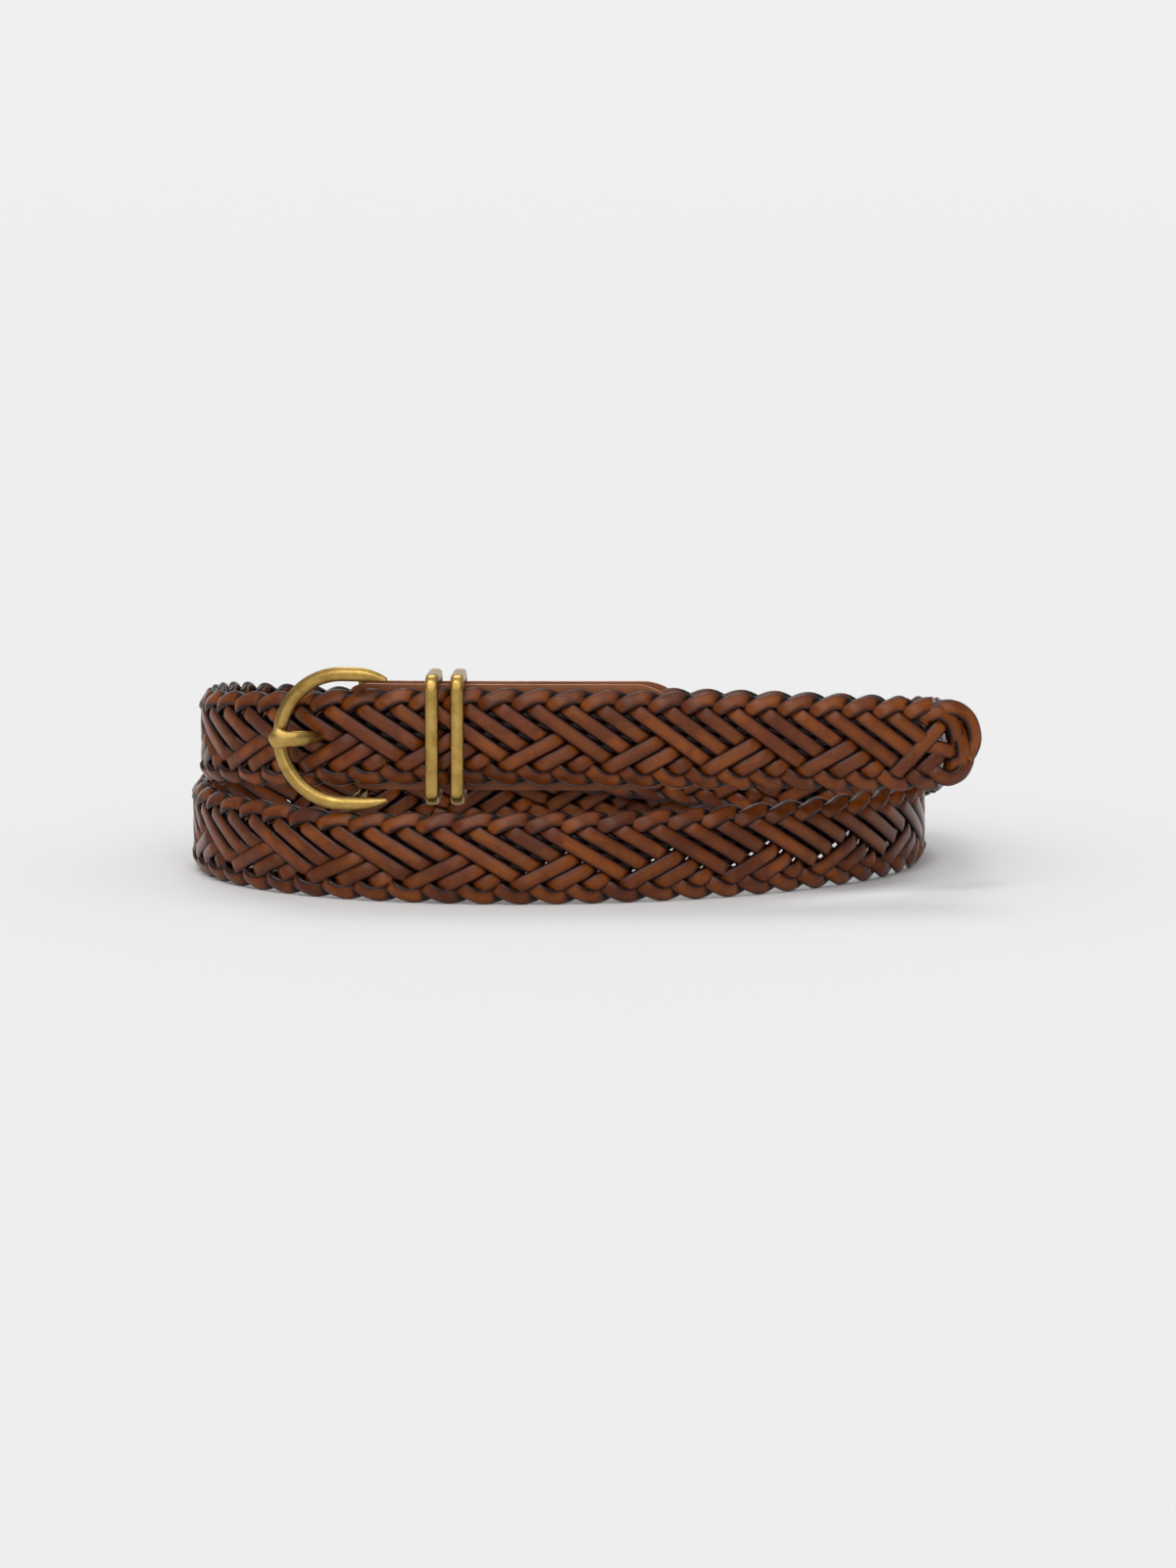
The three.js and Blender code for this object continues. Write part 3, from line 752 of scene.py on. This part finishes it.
@dataclass
class Braid:
    """Nine flat laces plaited along the winding, and the laces that bind its free end."""

    winding: Winding
    finish: LaceFinish = field(default_factory=LaceFinish)
    laces: int = 9
    lace_width: float = 4.2
    lace_thickness: float = 2.2
    section_power: float = 2.8
    section_sides: int = 14
    layer: float = 1.22
    edge_inset: float = 2.05
    edge_round: float = 0.975
    edge_tilt: float = 42.0
    tilt_from: float = 0.60
    tilt_level: float = 0.45
    tilt_by_layer: float = 0.55
    float_from: int = 3
    float_to: int = 7
    turn_lay: float = 0.25
    steps_per_bump: int = 9
    start_run: float = 7.2
    tip_turns: float = 15.217
    tip_steps: int = 8
    tip_lace_width: float = 4.1
    tip_tilt: float = 0.55
    tip_centre: float = 11.0
    tone_step: float = 0.618

    def lay_at_crossings(self, kind: int, leg: Leg) -> tuple[np.ndarray, np.ndarray]:
        """Returns where along a leg a lace crosses others, and on which layer it lies there.

        Args:
            kind: The lace's number modulo three, which sets how long its floats are.
            leg: Which way the lace runs.

        Returns:
            The shares of the leg, and the layers: 1 for over and -1 for under.
        """
        rows = np.arange(1, self.laces)
        if leg is Leg.DOWN:
            over = ((rows >= self.float_from + kind) & (rows <= self.float_to)) | (rows == 1)
            return ((self.laces - rows) / self.laces)[::-1], np.where(over, 1.0, -1.0)[::-1]
        partner = (kind + rows) % 3
        over = ((rows < self.float_from + partner) & (rows > 1)) | (rows == self.laces - 1)
        return rows / self.laces, np.where(over, 1.0, -1.0)

    def _leg(self, kind: int, leg: Leg, share: np.ndarray) -> tuple[np.ndarray, np.ndarray]:
        """Returns the height, as a share of the half height, and the layer along one leg."""
        wave = np.arcsin(self.edge_round * np.cos(math.pi * share)) / math.asin(self.edge_round)
        knots, lays = self.lay_at_crossings(kind, leg)
        knots = np.concatenate([[0.0], knots, [1.0]])
        lays = np.concatenate([[self.turn_lay], lays, [self.turn_lay]])
        after = np.clip(np.searchsorted(knots, share, side="right"), 1, len(knots) - 1)
        part = (share - knots[after - 1]) / (knots[after] - knots[after - 1])
        ease = (1 - np.cos(math.pi * part)) / 2
        layer = lays[after - 1] * (1 - ease) + lays[after] * ease
        return (wave if leg is Leg.DOWN else -wave), layer

    def route(self, lace: int) -> LaceRoute:
        """Works out one lace's route along the whole strap.

        Args:
            lace: The lace's number.

        Returns:
            The route.
        """
        winding = self.winding
        origin = winding.phase[-1] - self.tip_turns
        legs = []
        first = -math.ceil((origin + self.laces) / self.laces) * self.laces + lace
        for top in np.arange(first, self.tip_turns, self.laces):
            for leg, start in ((Leg.DOWN, top), (Leg.UP, top + Leg.DOWN.value)):
                count = leg.value * self.steps_per_bump
                share = np.arange(count) / count
                legs.append((origin + start + share * leg.value,
                             *self._leg(lace % 3, leg, share), np.full(count, leg is Leg.DOWN)))
        phase, height, layer, falling = map(np.concatenate, zip(*legs))
        spots = winding.at(Measure.PHASE, phase)
        strap_width = winding.width * spots.slim
        half = strap_width / 2 - self.edge_inset
        stop_up, stop_down_leg, stop_up_leg = np.array(PLAIT_STOPS).T
        stops = np.where(falling, np.interp(height * half, stop_up, stop_down_leg),
                         np.interp(height * half, stop_up, stop_up_leg))
        inside = ((phase > winding.phase[0]) & (spots.run > self.start_run)
                  & (phase < winding.phase[-1]) & (winding.run[-1] - spots.run > stops))
        points = spots.points(layer * self.layer, strap_width / 2 + height * half)
        near_edge = smoothstep(np.abs(height), self.tilt_from, 1.0)
        tilt = (np.radians(self.edge_tilt) * near_edge * np.sign(height)
                * (self.tilt_level + self.tilt_by_layer * layer))[:, None]
        facing = spots.outward * np.cos(tilt) + UP * np.sin(tilt)
        return LaceRoute(points, facing, layer, inside)

    def _tip_route(self, chain: tuple[tuple[float, ...], ...], side: Side) -> LaceRoute:
        """Works out the route of one binding lace.

        Args:
            chain: Its places from the table.
            side: The strap's front or back.

        Returns:
            The route.
        """
        winding = self.winding
        back, up, layer = smooth_chain(np.array(chain), self.tip_steps).T
        layer = np.clip(layer, -1.0, 1.0) * side.value
        spots = winding.at(Measure.RUN, winding.run[-1] - back)
        along = np.column_stack([spots.along, np.zeros(len(up))])
        lean = (UP * (up / winding.width * 2)[:, None]
                + along * np.clip(1 - back / self.tip_centre, 0.0, 1.0)[:, None])
        facing = spots.outward + lean * (self.tip_tilt * layer)[:, None]
        points = spots.points(layer * self.layer, winding.width * spots.slim / 2 + up)
        return LaceRoute(points, facing, layer, np.ones(len(up), dtype=bool))

    def _sweep(self, name: str, route: LaceRoute, width: float, tone: float,
               tree: NodeTree, material: Material) -> None:
        """Makes one lace from its route, as a finished piece."""
        mesh = bpy.data.meshes.new(name)
        keep = np.flatnonzero(route.shown)
        joined = np.flatnonzero(np.diff(keep) == 1)
        edges = np.column_stack([joined, joined + 1])
        mesh.from_pydata((route.points[keep] * MM).tolist(), edges.tolist(), [])
        mesh.attributes.new("facing", "FLOAT_VECTOR", "POINT").data.foreach_set(
            "vector", route.facing[keep].ravel().astype(np.float32))
        for label, values in (("lay", route.layer[keep]), ("tone", np.full(len(keep), tone))):
            mesh.attributes.new(label, "FLOAT", "POINT").data.foreach_set(
                "value", values.astype(np.float32))
        piece = new_object(name, mesh)
        grow(piece, tree, {
            "Lace Width": width * MM, "Lace Thickness": self.lace_thickness * MM,
            "Section Power": self.section_power, "Sides": self.section_sides,
            "Finish": material})
        keep_piece(piece, "braided_strap")

    def build(self) -> None:
        """Makes the plaited laces, then the binding laces at the front and back of the end."""
        tree = lace_sweep_tree()
        material = self.finish.build()
        for lace in range(self.laces):
            self._sweep(f"braid_lace_{lace + 1}", self.route(lace), self.lace_width,
                        lace * self.tone_step % 1.0, tree, material)
        for number, chain in enumerate(TIP_LACES, start=1):
            for side in Side:
                self._sweep(f"tip_lace_{side.name.lower()}_{number}", self._tip_route(chain, side),
                            self.tip_lace_width, number * self.tone_step % 1.0, tree, material)


@dataclass
class Studio:
    """Pale paper sweep, soft lights and the camera."""

    winding: Winding
    paper: FloorFinish = field(default_factory=FloorFinish)
    view_centre: tuple[float, float, float] = (0.0, 7.3, 20.3)
    distance: float = 1507.0
    elevation: float = 7.44
    lens: float = 130.0
    sensor: float = 36.0
    view_depth: float = 60.0
    key_light: float = 1.4
    rim_light: float = 0.62
    gloss_light: float = 0.32
    low_sky: float = 0.20
    high_sky: float = 0.66

    def build(self) -> None:
        """Makes the floor, the lights, the world and the camera."""
        self._floor()
        self._camera()
        self._panel("key panel", (0.12, 0.80, -0.58), 70.0, self.key_light)
        self._panel("rim panel", (0.06, -0.52, -0.85), 28.0, self.rim_light)
        self._panel("gloss panel", (0.20, 0.42, -0.88), 16.0, self.gloss_light)
        self._sky()
        bpy.context.scene.view_settings.view_transform = "Standard"

    def _sky(self) -> None:
        """Makes the room's light: brighter overhead than level with the belt."""
        world = bpy.context.scene.world or bpy.data.worlds.new("studio")
        bpy.context.scene.world = world
        world.use_nodes = True
        world.node_tree.nodes.clear()
        sheet = NodeSheet(world.node_tree)
        way = sheet.add("ShaderNodeTexCoord").outputs["Generated"]
        height = sheet.add("ShaderNodeSeparateXYZ", Vector=way).outputs["Z"]
        glow = sheet.add("ShaderNodeBackground", Color=(1.0, 1.0, 1.0, 1.0),
                         Strength=sheet.remap(height, 0.0, 0.9, self.low_sky, self.high_sky))
        sheet.add("ShaderNodeOutputWorld", Surface=glow.outputs[0])

    def _floor(self) -> None:
        """Makes the paper: flat under the belt and rising very gently far behind it."""
        half, front, back, radius = 20000.0, -20000.0, 3000.0, 60000.0
        turn = np.linspace(0.0, math.pi / 5, 33)
        profile = [(front, 0.0), *zip(back + radius * np.sin(turn), radius * (1 - np.cos(turn)))]
        points = [(side * half * MM, y * MM, z * MM) for y, z in profile for side in (-1, 1)]
        faces = [(2 * i, 2 * i + 1, 2 * i + 3, 2 * i + 2) for i in range(len(profile) - 1)]
        mesh = bpy.data.meshes.new("studio_paper")
        mesh.from_pydata(points, [], faces)
        mesh.shade_smooth()
        mesh.materials.append(self.paper.build())
        new_object("studio_paper", mesh)

    def _camera(self) -> None:
        """Sets the camera at the photograph's viewing angle."""
        data = bpy.data.cameras.new("camera")
        data.lens, data.sensor_width = self.lens, self.sensor
        data.clip_end = self.view_depth
        camera = new_object("camera", data)
        target = (Vector(self.view_centre) + Vector((*self.winding.shift, 0.0))) * MM
        tilt = math.radians(self.elevation)
        back = Vector((0, -math.cos(tilt), math.sin(tilt)))
        camera.location = target + back * self.distance * MM
        camera.rotation_euler = (target - camera.location).to_track_quat("-Z", "Y").to_euler()
        bpy.context.scene.camera = camera

    def _panel(self, name: str, way: tuple[float, float, float], spread: float,
               power: float) -> None:
        """Adds one even light from far away.

        Args:
            name: The light's name.
            way: The way that it shines.
            spread: How wide it looks from the belt, in degrees.
            power: Its strength.
        """
        data = bpy.data.lights.new(name, "SUN")
        data.energy, data.angle = power, math.radians(spread)
        light = new_object(name, data)
        light.rotation_euler = Vector(way).to_track_quat("-Z", "Y").to_euler()


def combined(name: str, parts: list[Mesh], finish: Material) -> Object:
    """Returns one smooth object made of several closed meshes, which it uses up."""
    build = bmesh.new()
    for part in parts:
        build.from_mesh(part)
        bpy.data.meshes.remove(part)
    mesh = bpy.data.meshes.new(name)
    build.to_mesh(mesh)
    build.free()
    mesh.shade_smooth()
    mesh.materials.append(finish)
    return new_object(name, mesh)


def placed_section(centre: np.ndarray, wide_way: np.ndarray, deep_way: np.ndarray,
                   section: np.ndarray) -> np.ndarray:
    """Returns a section's points round a centre, across one way and out another."""
    return centre + section[:, :1] * wide_way + section[:, 1:] * deep_way


def rod_mesh(name: str, route: np.ndarray, across: np.ndarray,
             sections: list[np.ndarray]) -> Mesh:
    """Builds a capped rod whose sections stand square to its route.

    Args:
        name: The mesh's name.
        route: The places of its middle line, one row each.
        across: The way that each section's width lies.
        sections: One closed section for each place.

    Returns:
        The mesh.
    """
    runs = np.gradient(route, axis=0)
    rings = [placed_section(place, across, np.cross(run / np.linalg.norm(run), across), section)
             for place, run, section in zip(route, runs, sections)]
    return ring_mesh(name, np.array(rings), False)


def bevelled_section(wide: float, deep: float) -> np.ndarray:
    """Returns a band's section: a flat face, two slanting bevels and a softened back."""
    corners = np.array([(0.40, 1.0), (-0.40, 1.0), (-1.0, 0.20), (-1.0, -0.5),
                        (-0.6, -1.0), (0.6, -1.0), (1.0, -0.5), (1.0, 0.20)])
    before, after = np.roll(corners, 1, axis=0), np.roll(corners, -1, axis=0)
    soft = 0.26
    enter, leave = corners + (before - corners) * soft, corners + (after - corners) * soft
    middle = (enter + 2 * corners + leave) / 4
    points = np.stack([enter, middle, leave], axis=1).reshape(-1, 2)
    return points * [wide / 2, deep / 2]


# The prong from its eye to its head: share of its length, and its rise, height and thickness as
# shares of the ring's distance, the shank's height and the prong's thickness
PRONG_PROFILE = (
    (0.10, 0.10, 0.70, 0.80), (0.30, 0.33, 0.70, 0.85), (0.43, 0.52, 0.72, 0.95),
    (0.50, 0.70, 0.92, 1.00), (0.58, 0.87, 1.12, 1.00), (0.68, 0.97, 1.14, 1.00),
    (0.76, 1.00, 1.12, 1.00), (0.82, 1.02, 1.32, 1.02), (0.87, 1.025, 1.54, 1.04),
    (0.92, 1.02, 1.50, 1.00), (0.96, 1.01, 1.16, 0.90), (0.985, 0.995, 0.72, 0.70),
    (1.000, 0.985, 0.18, 0.20),
)


@dataclass
class BuckleSeat:
    """The buckle's bar, and places set out from it: along the strap, outward and up."""

    winding: Winding
    bar_start: float = 1.8
    bar_diameter: float = 2.4
    swing: float = 6.0

    def __post_init__(self) -> None:
        """Finds the bar and the buckle's own directions."""
        spot = self.winding.at(Measure.RUN, [self.bar_start])
        self.strap_along = np.append(spot.along[0], 0.0)
        self.strap_out = spot.outward[0]
        middle = spot.lift[0] + self.winding.width * spot.slim[0] / 2
        self.bar_place = np.append(spot.plan[0], middle)
        turn = math.radians(self.swing)
        self.along = math.cos(turn) * self.strap_along - math.sin(turn) * self.strap_out
        self.out = math.cos(turn) * self.strap_out + math.sin(turn) * self.strap_along

    def spot(self, along: float, out: float, up: float) -> np.ndarray:
        """Returns one place set out from the bar."""
        return self.bar_place + self.along * along + self.out * out + UP * up

    def out_to_tip(self, run: float) -> float:
        """Returns how far out of a place on the strap the run under the free end lies."""
        spot = self.winding.at(Measure.RUN, [run])
        first = (len(self.winding.rows) - len(TIP_RUN)) * self.winding.samples_per_station
        offsets = self.winding.plan[first:] - spot.plan[0]
        nearest = offsets[np.argmin(np.abs(offsets @ spot.along[0]))]
        return float(nearest @ spot.outward[0][:2])


@dataclass
class Buckle:
    """Horseshoe ring with its bar behind the strap, and the prong that closes over the ring."""

    seat: BuckleSeat
    finish: BrassFinish = field(default_factory=BrassFinish)
    outer_height: float = 36.6
    wire: float = 3.6
    depth: float = 2.6
    arm_reach: float = 11.5
    arm_taper: float = 8.0
    arm_end: float = 1.2
    stand_off: float = 0.8
    ring_behind: float = 2.4
    arc_steps: int = 72
    arm_steps: int = 22
    tab_height: float = 26.9
    prong_thickness: float = 2.2
    shank: float = 3.5
    eye_height: float = 4.0
    eye_wall: float = 1.6
    overhang: float = 0.2
    arm_hold: float = 0.6
    bar_bend: float = 1.5
    bar_power: float = 2.0
    bar_sides: int = 20
    shank_power: float = 2.3
    shank_sides: int = 24
    shank_steps: int = 61
    shank_easing: int = 3
    eye_power: float = 4.0
    eye_sides: int = 16
    eye_steps: int = 40

    def __post_init__(self) -> None:
        """Works out how far out of the bar the ring lies."""
        seat = self.seat
        self.ring_out = (seat.out_to_tip(seat.bar_start) + seat.winding.thickness / 2
                         + self.stand_off + self.depth / 2)
        self.radius = self.outer_height / 2

    def _ring(self) -> Mesh:
        """Makes the half ring and its two tapered arms."""
        arm = self.arm_reach * np.sqrt(np.arange(self.arm_steps, 0, -1) / self.arm_steps)
        arc = np.linspace(-math.pi / 2, math.pi / 2, self.arc_steps + 1)
        stops = [*((-math.pi / 2, along) for along in arm), *((turn, 0.0) for turn in arc),
                 *((math.pi / 2, along) for along in arm[::-1])]
        rings = []
        for turn, along in stops:
            taper = max(1 - (self.arm_reach - along) / self.arm_taper, 0.0)
            share = 1 - taper ** 2
            wide = self.arm_end + (self.wire - self.arm_end) * share
            deep = self.arm_end + (self.depth - self.arm_end) * share
            reach = self.radius - self.wire + wide / 2
            centre = self.seat.spot(along - self.ring_behind - math.cos(turn) * reach,
                                    self.ring_out, math.sin(turn) * reach)
            wide_way = UP * math.sin(turn) - self.seat.along * math.cos(turn)
            rings.append(placed_section(centre, wide_way, self.seat.out,
                                        bevelled_section(wide, deep)))
        return ring_mesh("ring", np.array(rings), False)

    def _bar(self) -> Mesh:
        """Makes the bar behind the strap, with both ends bent forward into the ring's arms."""
        seat, radius = self.seat, self.seat.bar_diameter / 2
        arm_up = self.radius - self.wire * self.arm_hold
        post_up = self.tab_height / 2 + 2 * seat.winding.gap + radius
        bend = radius * self.bar_bend
        upper = [(self.ring_out, arm_up), (self.ring_out * self.arm_hold, (arm_up + post_up) / 2),
                 *((bend * (1 - math.sin(turn)), post_up - bend + math.cos(turn) * bend)
                   for turn in np.linspace(0.0, math.pi / 2, 9))]
        lower = [(out, -up) for out, up in reversed(upper)]
        route = np.array([seat.spot(0.0, out, up) for out, up in upper + lower])
        section = rounded_section(seat.bar_diameter, seat.bar_diameter, self.bar_power,
                                  self.bar_sides)
        return rod_mesh("bar", route, seat.along, [section] * len(route))

    def _shank(self) -> Mesh:
        """Makes the prong's shank, from the eye through the braid to its rounded head."""
        share, rise, high, thick = np.array(PRONG_PROFILE).T
        fine = np.linspace(share[0], share[-1], self.shank_steps)
        kernel = np.array([0.25, 0.5, 0.25])

        def eased(column: np.ndarray) -> np.ndarray:
            """Returns a column between its rows, with its corners eased."""
            values = np.interp(fine, share, column)
            for _ in range(self.shank_easing):
                values = np.convolve(np.pad(values, 1, mode="edge"), kernel, mode="valid")
            return values

        rise, high, thick = eased(rise), eased(high), eased(thick)
        tip_along = -self.ring_behind - self.radius - self.overhang
        tip_out = (self.ring_out + self.depth / 2 + 1.5 * self.seat.winding.gap
                   + self.prong_thickness / 2)
        route = np.array([self.seat.spot(tip_along * at, tip_out * lift, 0.0)
                          for at, lift in zip(fine, rise)])
        return rod_mesh("shank", route, UP, [
            rounded_section(self.shank * wide, self.prong_thickness * deep, self.shank_power,
                            self.shank_sides)
            for wide, deep in zip(high, thick)])

    def _eye(self) -> Mesh:
        """Makes the closed eye that turns on the bar."""
        reach = self.seat.bar_diameter / 2 + self.seat.winding.gap + self.eye_wall / 2
        section = rounded_section(self.eye_height, self.eye_wall, self.eye_power, self.eye_sides)
        rings = []
        for turn in np.linspace(0.0, 2 * math.pi, self.eye_steps, endpoint=False):
            way = self.seat.along * math.cos(turn) + self.seat.out * math.sin(turn)
            rings.append(placed_section(self.seat.bar_place + way * reach, UP, way, section))
        return ring_mesh("eye", np.array(rings), True)

    def build(self) -> None:
        """Makes the casting and the prong."""
        brass = self.finish.build()
        keep_piece(combined("buckle_casting", [self._ring(), self._bar()], brass),
                   "buckle_frame")
        keep_piece(combined("buckle_tongue", [self._shank(), self._eye()], brass),
                   "buckle_prong")


@dataclass
class Keeper:
    """Closed loop of flattened wire round the free end and the tab."""

    seat: BuckleSeat
    finish: Material
    node: str
    from_bar: float
    wire: float = 3.4
    thickness: float = 2.9
    inner_corner: float = 0.9
    tab_height: float = 26.9
    section_power: float = 3.0
    section_sides: int = 28
    quarter_steps: int = 12

    def build(self) -> None:
        """Makes the loop."""
        winding, run = self.seat.winding, self.seat.bar_start + self.from_bar
        spot = winding.at(Measure.RUN, [run])
        along, outward = np.append(spot.along[0], 0.0), spot.outward[0]
        spare = winding.gap + self.thickness / 2
        ahead = self.seat.out_to_tip(run) + winding.thickness / 2 + spare
        behind = winding.thickness / 2 + winding.tab_wall + winding.gap + spare
        corner = self.inner_corner + self.thickness / 2
        straight_out = (ahead + behind) / 2 - corner
        straight_up = self.tab_height / 2 + spare - corner
        centre = np.append(spot.plan[0], self.seat.bar_place[2]) + outward * (ahead - behind) / 2
        section = rounded_section(self.wire, self.thickness, self.section_power,
                                  self.section_sides)
        rings = []
        for quarter, (out_sign, up_sign) in enumerate(((1, 1), (-1, 1), (-1, -1), (1, -1))):
            for step in range(self.quarter_steps + 1):
                turn = (quarter + step / self.quarter_steps) * math.pi / 2
                facing = outward * math.cos(turn) + UP * math.sin(turn)
                place = (centre + outward * straight_out * out_sign
                         + UP * straight_up * up_sign + facing * corner)
                rings.append(placed_section(place, along, facing, section))
        loop = ring_mesh("loop", np.array(rings), True)
        keep_piece(combined(f"{self.node}_loop", [loop], self.finish), self.node)


@dataclass
class FoldedTab:
    """One piece of smooth leather folded round the bar, its two leaves on either side."""

    seat: BuckleSeat
    face: TabFinish = field(default_factory=TabFinish)
    edge: CutEdgeFinish = field(default_factory=CutEdgeFinish)
    height: float = 26.9
    wall: float = 1.6
    length: float = 84.0
    end_round: float = 12.0
    corner_long: float = 5.5
    corner_high: float = 5.0
    slot_half: float = 2.3
    slot_end: float = 3.4
    edge_bevel: float = 0.45
    bevel_steps: int = 3
    bevel_angle: float = 50.0
    row_shares: tuple[float, ...] = (0.45, 0.7, 0.9, 1.0)
    spare: float = 4.0
    dense_steps: int = 800
    round_share: float = 0.985
    round_steps: int = 18
    slot_steps: int = 4
    leaf_steps: int = 44
    fold_steps: int = 21

    def _half_height(self, along: np.ndarray) -> np.ndarray:
        """Returns the tab's half height at distances along the strap from the bar."""
        fold_left = self.fold_along - self.fold_radius - self.wall / 2
        corner = np.clip((fold_left + self.corner_long - along) / self.corner_long, 0.0, 1.0)
        end = np.clip((along - self.right + self.end_round) / self.end_round, 0.0, 0.9995)
        return (self.height / 2 * np.sqrt(1 - end ** 2)
                - self.corner_high * (1 - np.sqrt(1 - corner ** 2)))

    def _leaf(self, side: float) -> np.ndarray:
        """Returns one leaf's places in plan, from the fold to the rounded end."""
        dense = np.linspace(self.fold_start, self.fold_start + self.length + self.spare,
                            self.dense_steps)
        spots = self.seat.winding.at(Measure.RUN, dense)
        plan = spots.plan + spots.outward[:, :2] * side * self.fold_radius
        along = (plan - self.seat.bar_place[:2]) @ self.seat.strap_along[:2]
        turns = np.linspace(0.0, math.pi / 2 * self.round_share, self.round_steps)
        stops = np.concatenate([
            np.linspace(along[0], self.slot_end, self.slot_steps)[:-1],
            np.linspace(self.slot_end, self.right - self.end_round, self.leaf_steps)[:-1],
            self.right - self.end_round + self.end_round * np.sin(turns)])
        return np.column_stack([np.interp(stops, along, plan[:, axis]) for axis in (0, 1)])

    def build(self) -> None:
        """Makes the tab from its middle layer, thickened and with its edges rounded."""
        seat, winding = self.seat, self.seat.winding
        self.fold_radius = winding.thickness / 2 + winding.gap + self.wall / 2
        self.fold_start = (seat.bar_start + winding.thickness / 2 - seat.bar_diameter / 2)
        self.fold_along = self.fold_start - seat.bar_start
        self.right = self.length - self.fold_radius - self.wall / 2
        spot = winding.at(Measure.RUN, [self.fold_start])
        turns = np.linspace(0.0, math.pi, self.fold_steps)[1:-1]
        fold = [spot.plan[0] + self.fold_radius * (spot.outward[0][:2] * math.cos(turn)
                                                   - spot.along[0] * math.sin(turn))
                for turn in turns]
        plan = np.vstack([self._leaf(1.0)[::-1], fold, self._leaf(-1.0)])
        along = (plan - seat.bar_place[:2]) @ seat.strap_along[:2]
        half = self._half_height(along)
        slot = self.slot_half / (self.height / 2)
        rows = np.array([*(-row for row in self.row_shares[::-1]), -slot, slot, *self.row_shares])
        points = np.array([(x, y, seat.bar_place[2] + row * high)
                           for (x, y), high in zip(plan, half) for row in rows])
        count = len(rows)
        slot_row = int(np.argmax(rows == -slot))
        faces = [(first, first + 1, first + count + 1, first + count)
                 for column in range(len(plan) - 1) for row in range(count - 1)
                 for first in [column * count + row]
                 if row != slot_row or max(along[column:column + 2]) > self.slot_end + 0.01]
        mesh = bpy.data.meshes.new("leather_tab_leaf")
        mesh.from_pydata((points * MM).tolist(), [], faces)
        for finish in (self.face, self.edge):
            mesh.materials.append(finish.build())
        mesh.shade_smooth()
        tab = new_object("folded_tab", mesh)
        thicken = tab.modifiers.new("thicken", "SOLIDIFY")
        thicken.thickness, thicken.offset = self.wall * MM, 0.0
        thicken.material_offset_rim = 1
        soften = tab.modifiers.new("soften", "BEVEL")
        soften.width, soften.segments = self.edge_bevel * MM, self.bevel_steps
        soften.limit_method, soften.angle_limit = "ANGLE", math.radians(self.bevel_angle)
        soften.material = 1
        settle(tab)
        tab.data.name = "folded_tab"
        keep_piece(tab, "leather_tab")


def main() -> None:
    """Builds the belt and the studio in order, and reports each piece."""
    logging.basicConfig(level=logging.INFO, format="%(name)s: %(message)s", force=True)
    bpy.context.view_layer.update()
    winding = Winding()
    log.info("strap %.0f mm long, %.2f bumps", winding.run[-1], winding.phase[-1])
    Studio(winding).build()
    Braid(winding).build()
    seat = BuckleSeat(winding)
    FoldedTab(seat).build()
    Buckle(seat).build()
    keeper_brass = BrassFinish("satin keeper brass").build()
    for node, from_bar in (("keeper_left", 18.5), ("keeper_right", 24.8)):
        Keeper(seat, keeper_brass, node, from_bar).build()


if __name__ == "__main__":
    main()
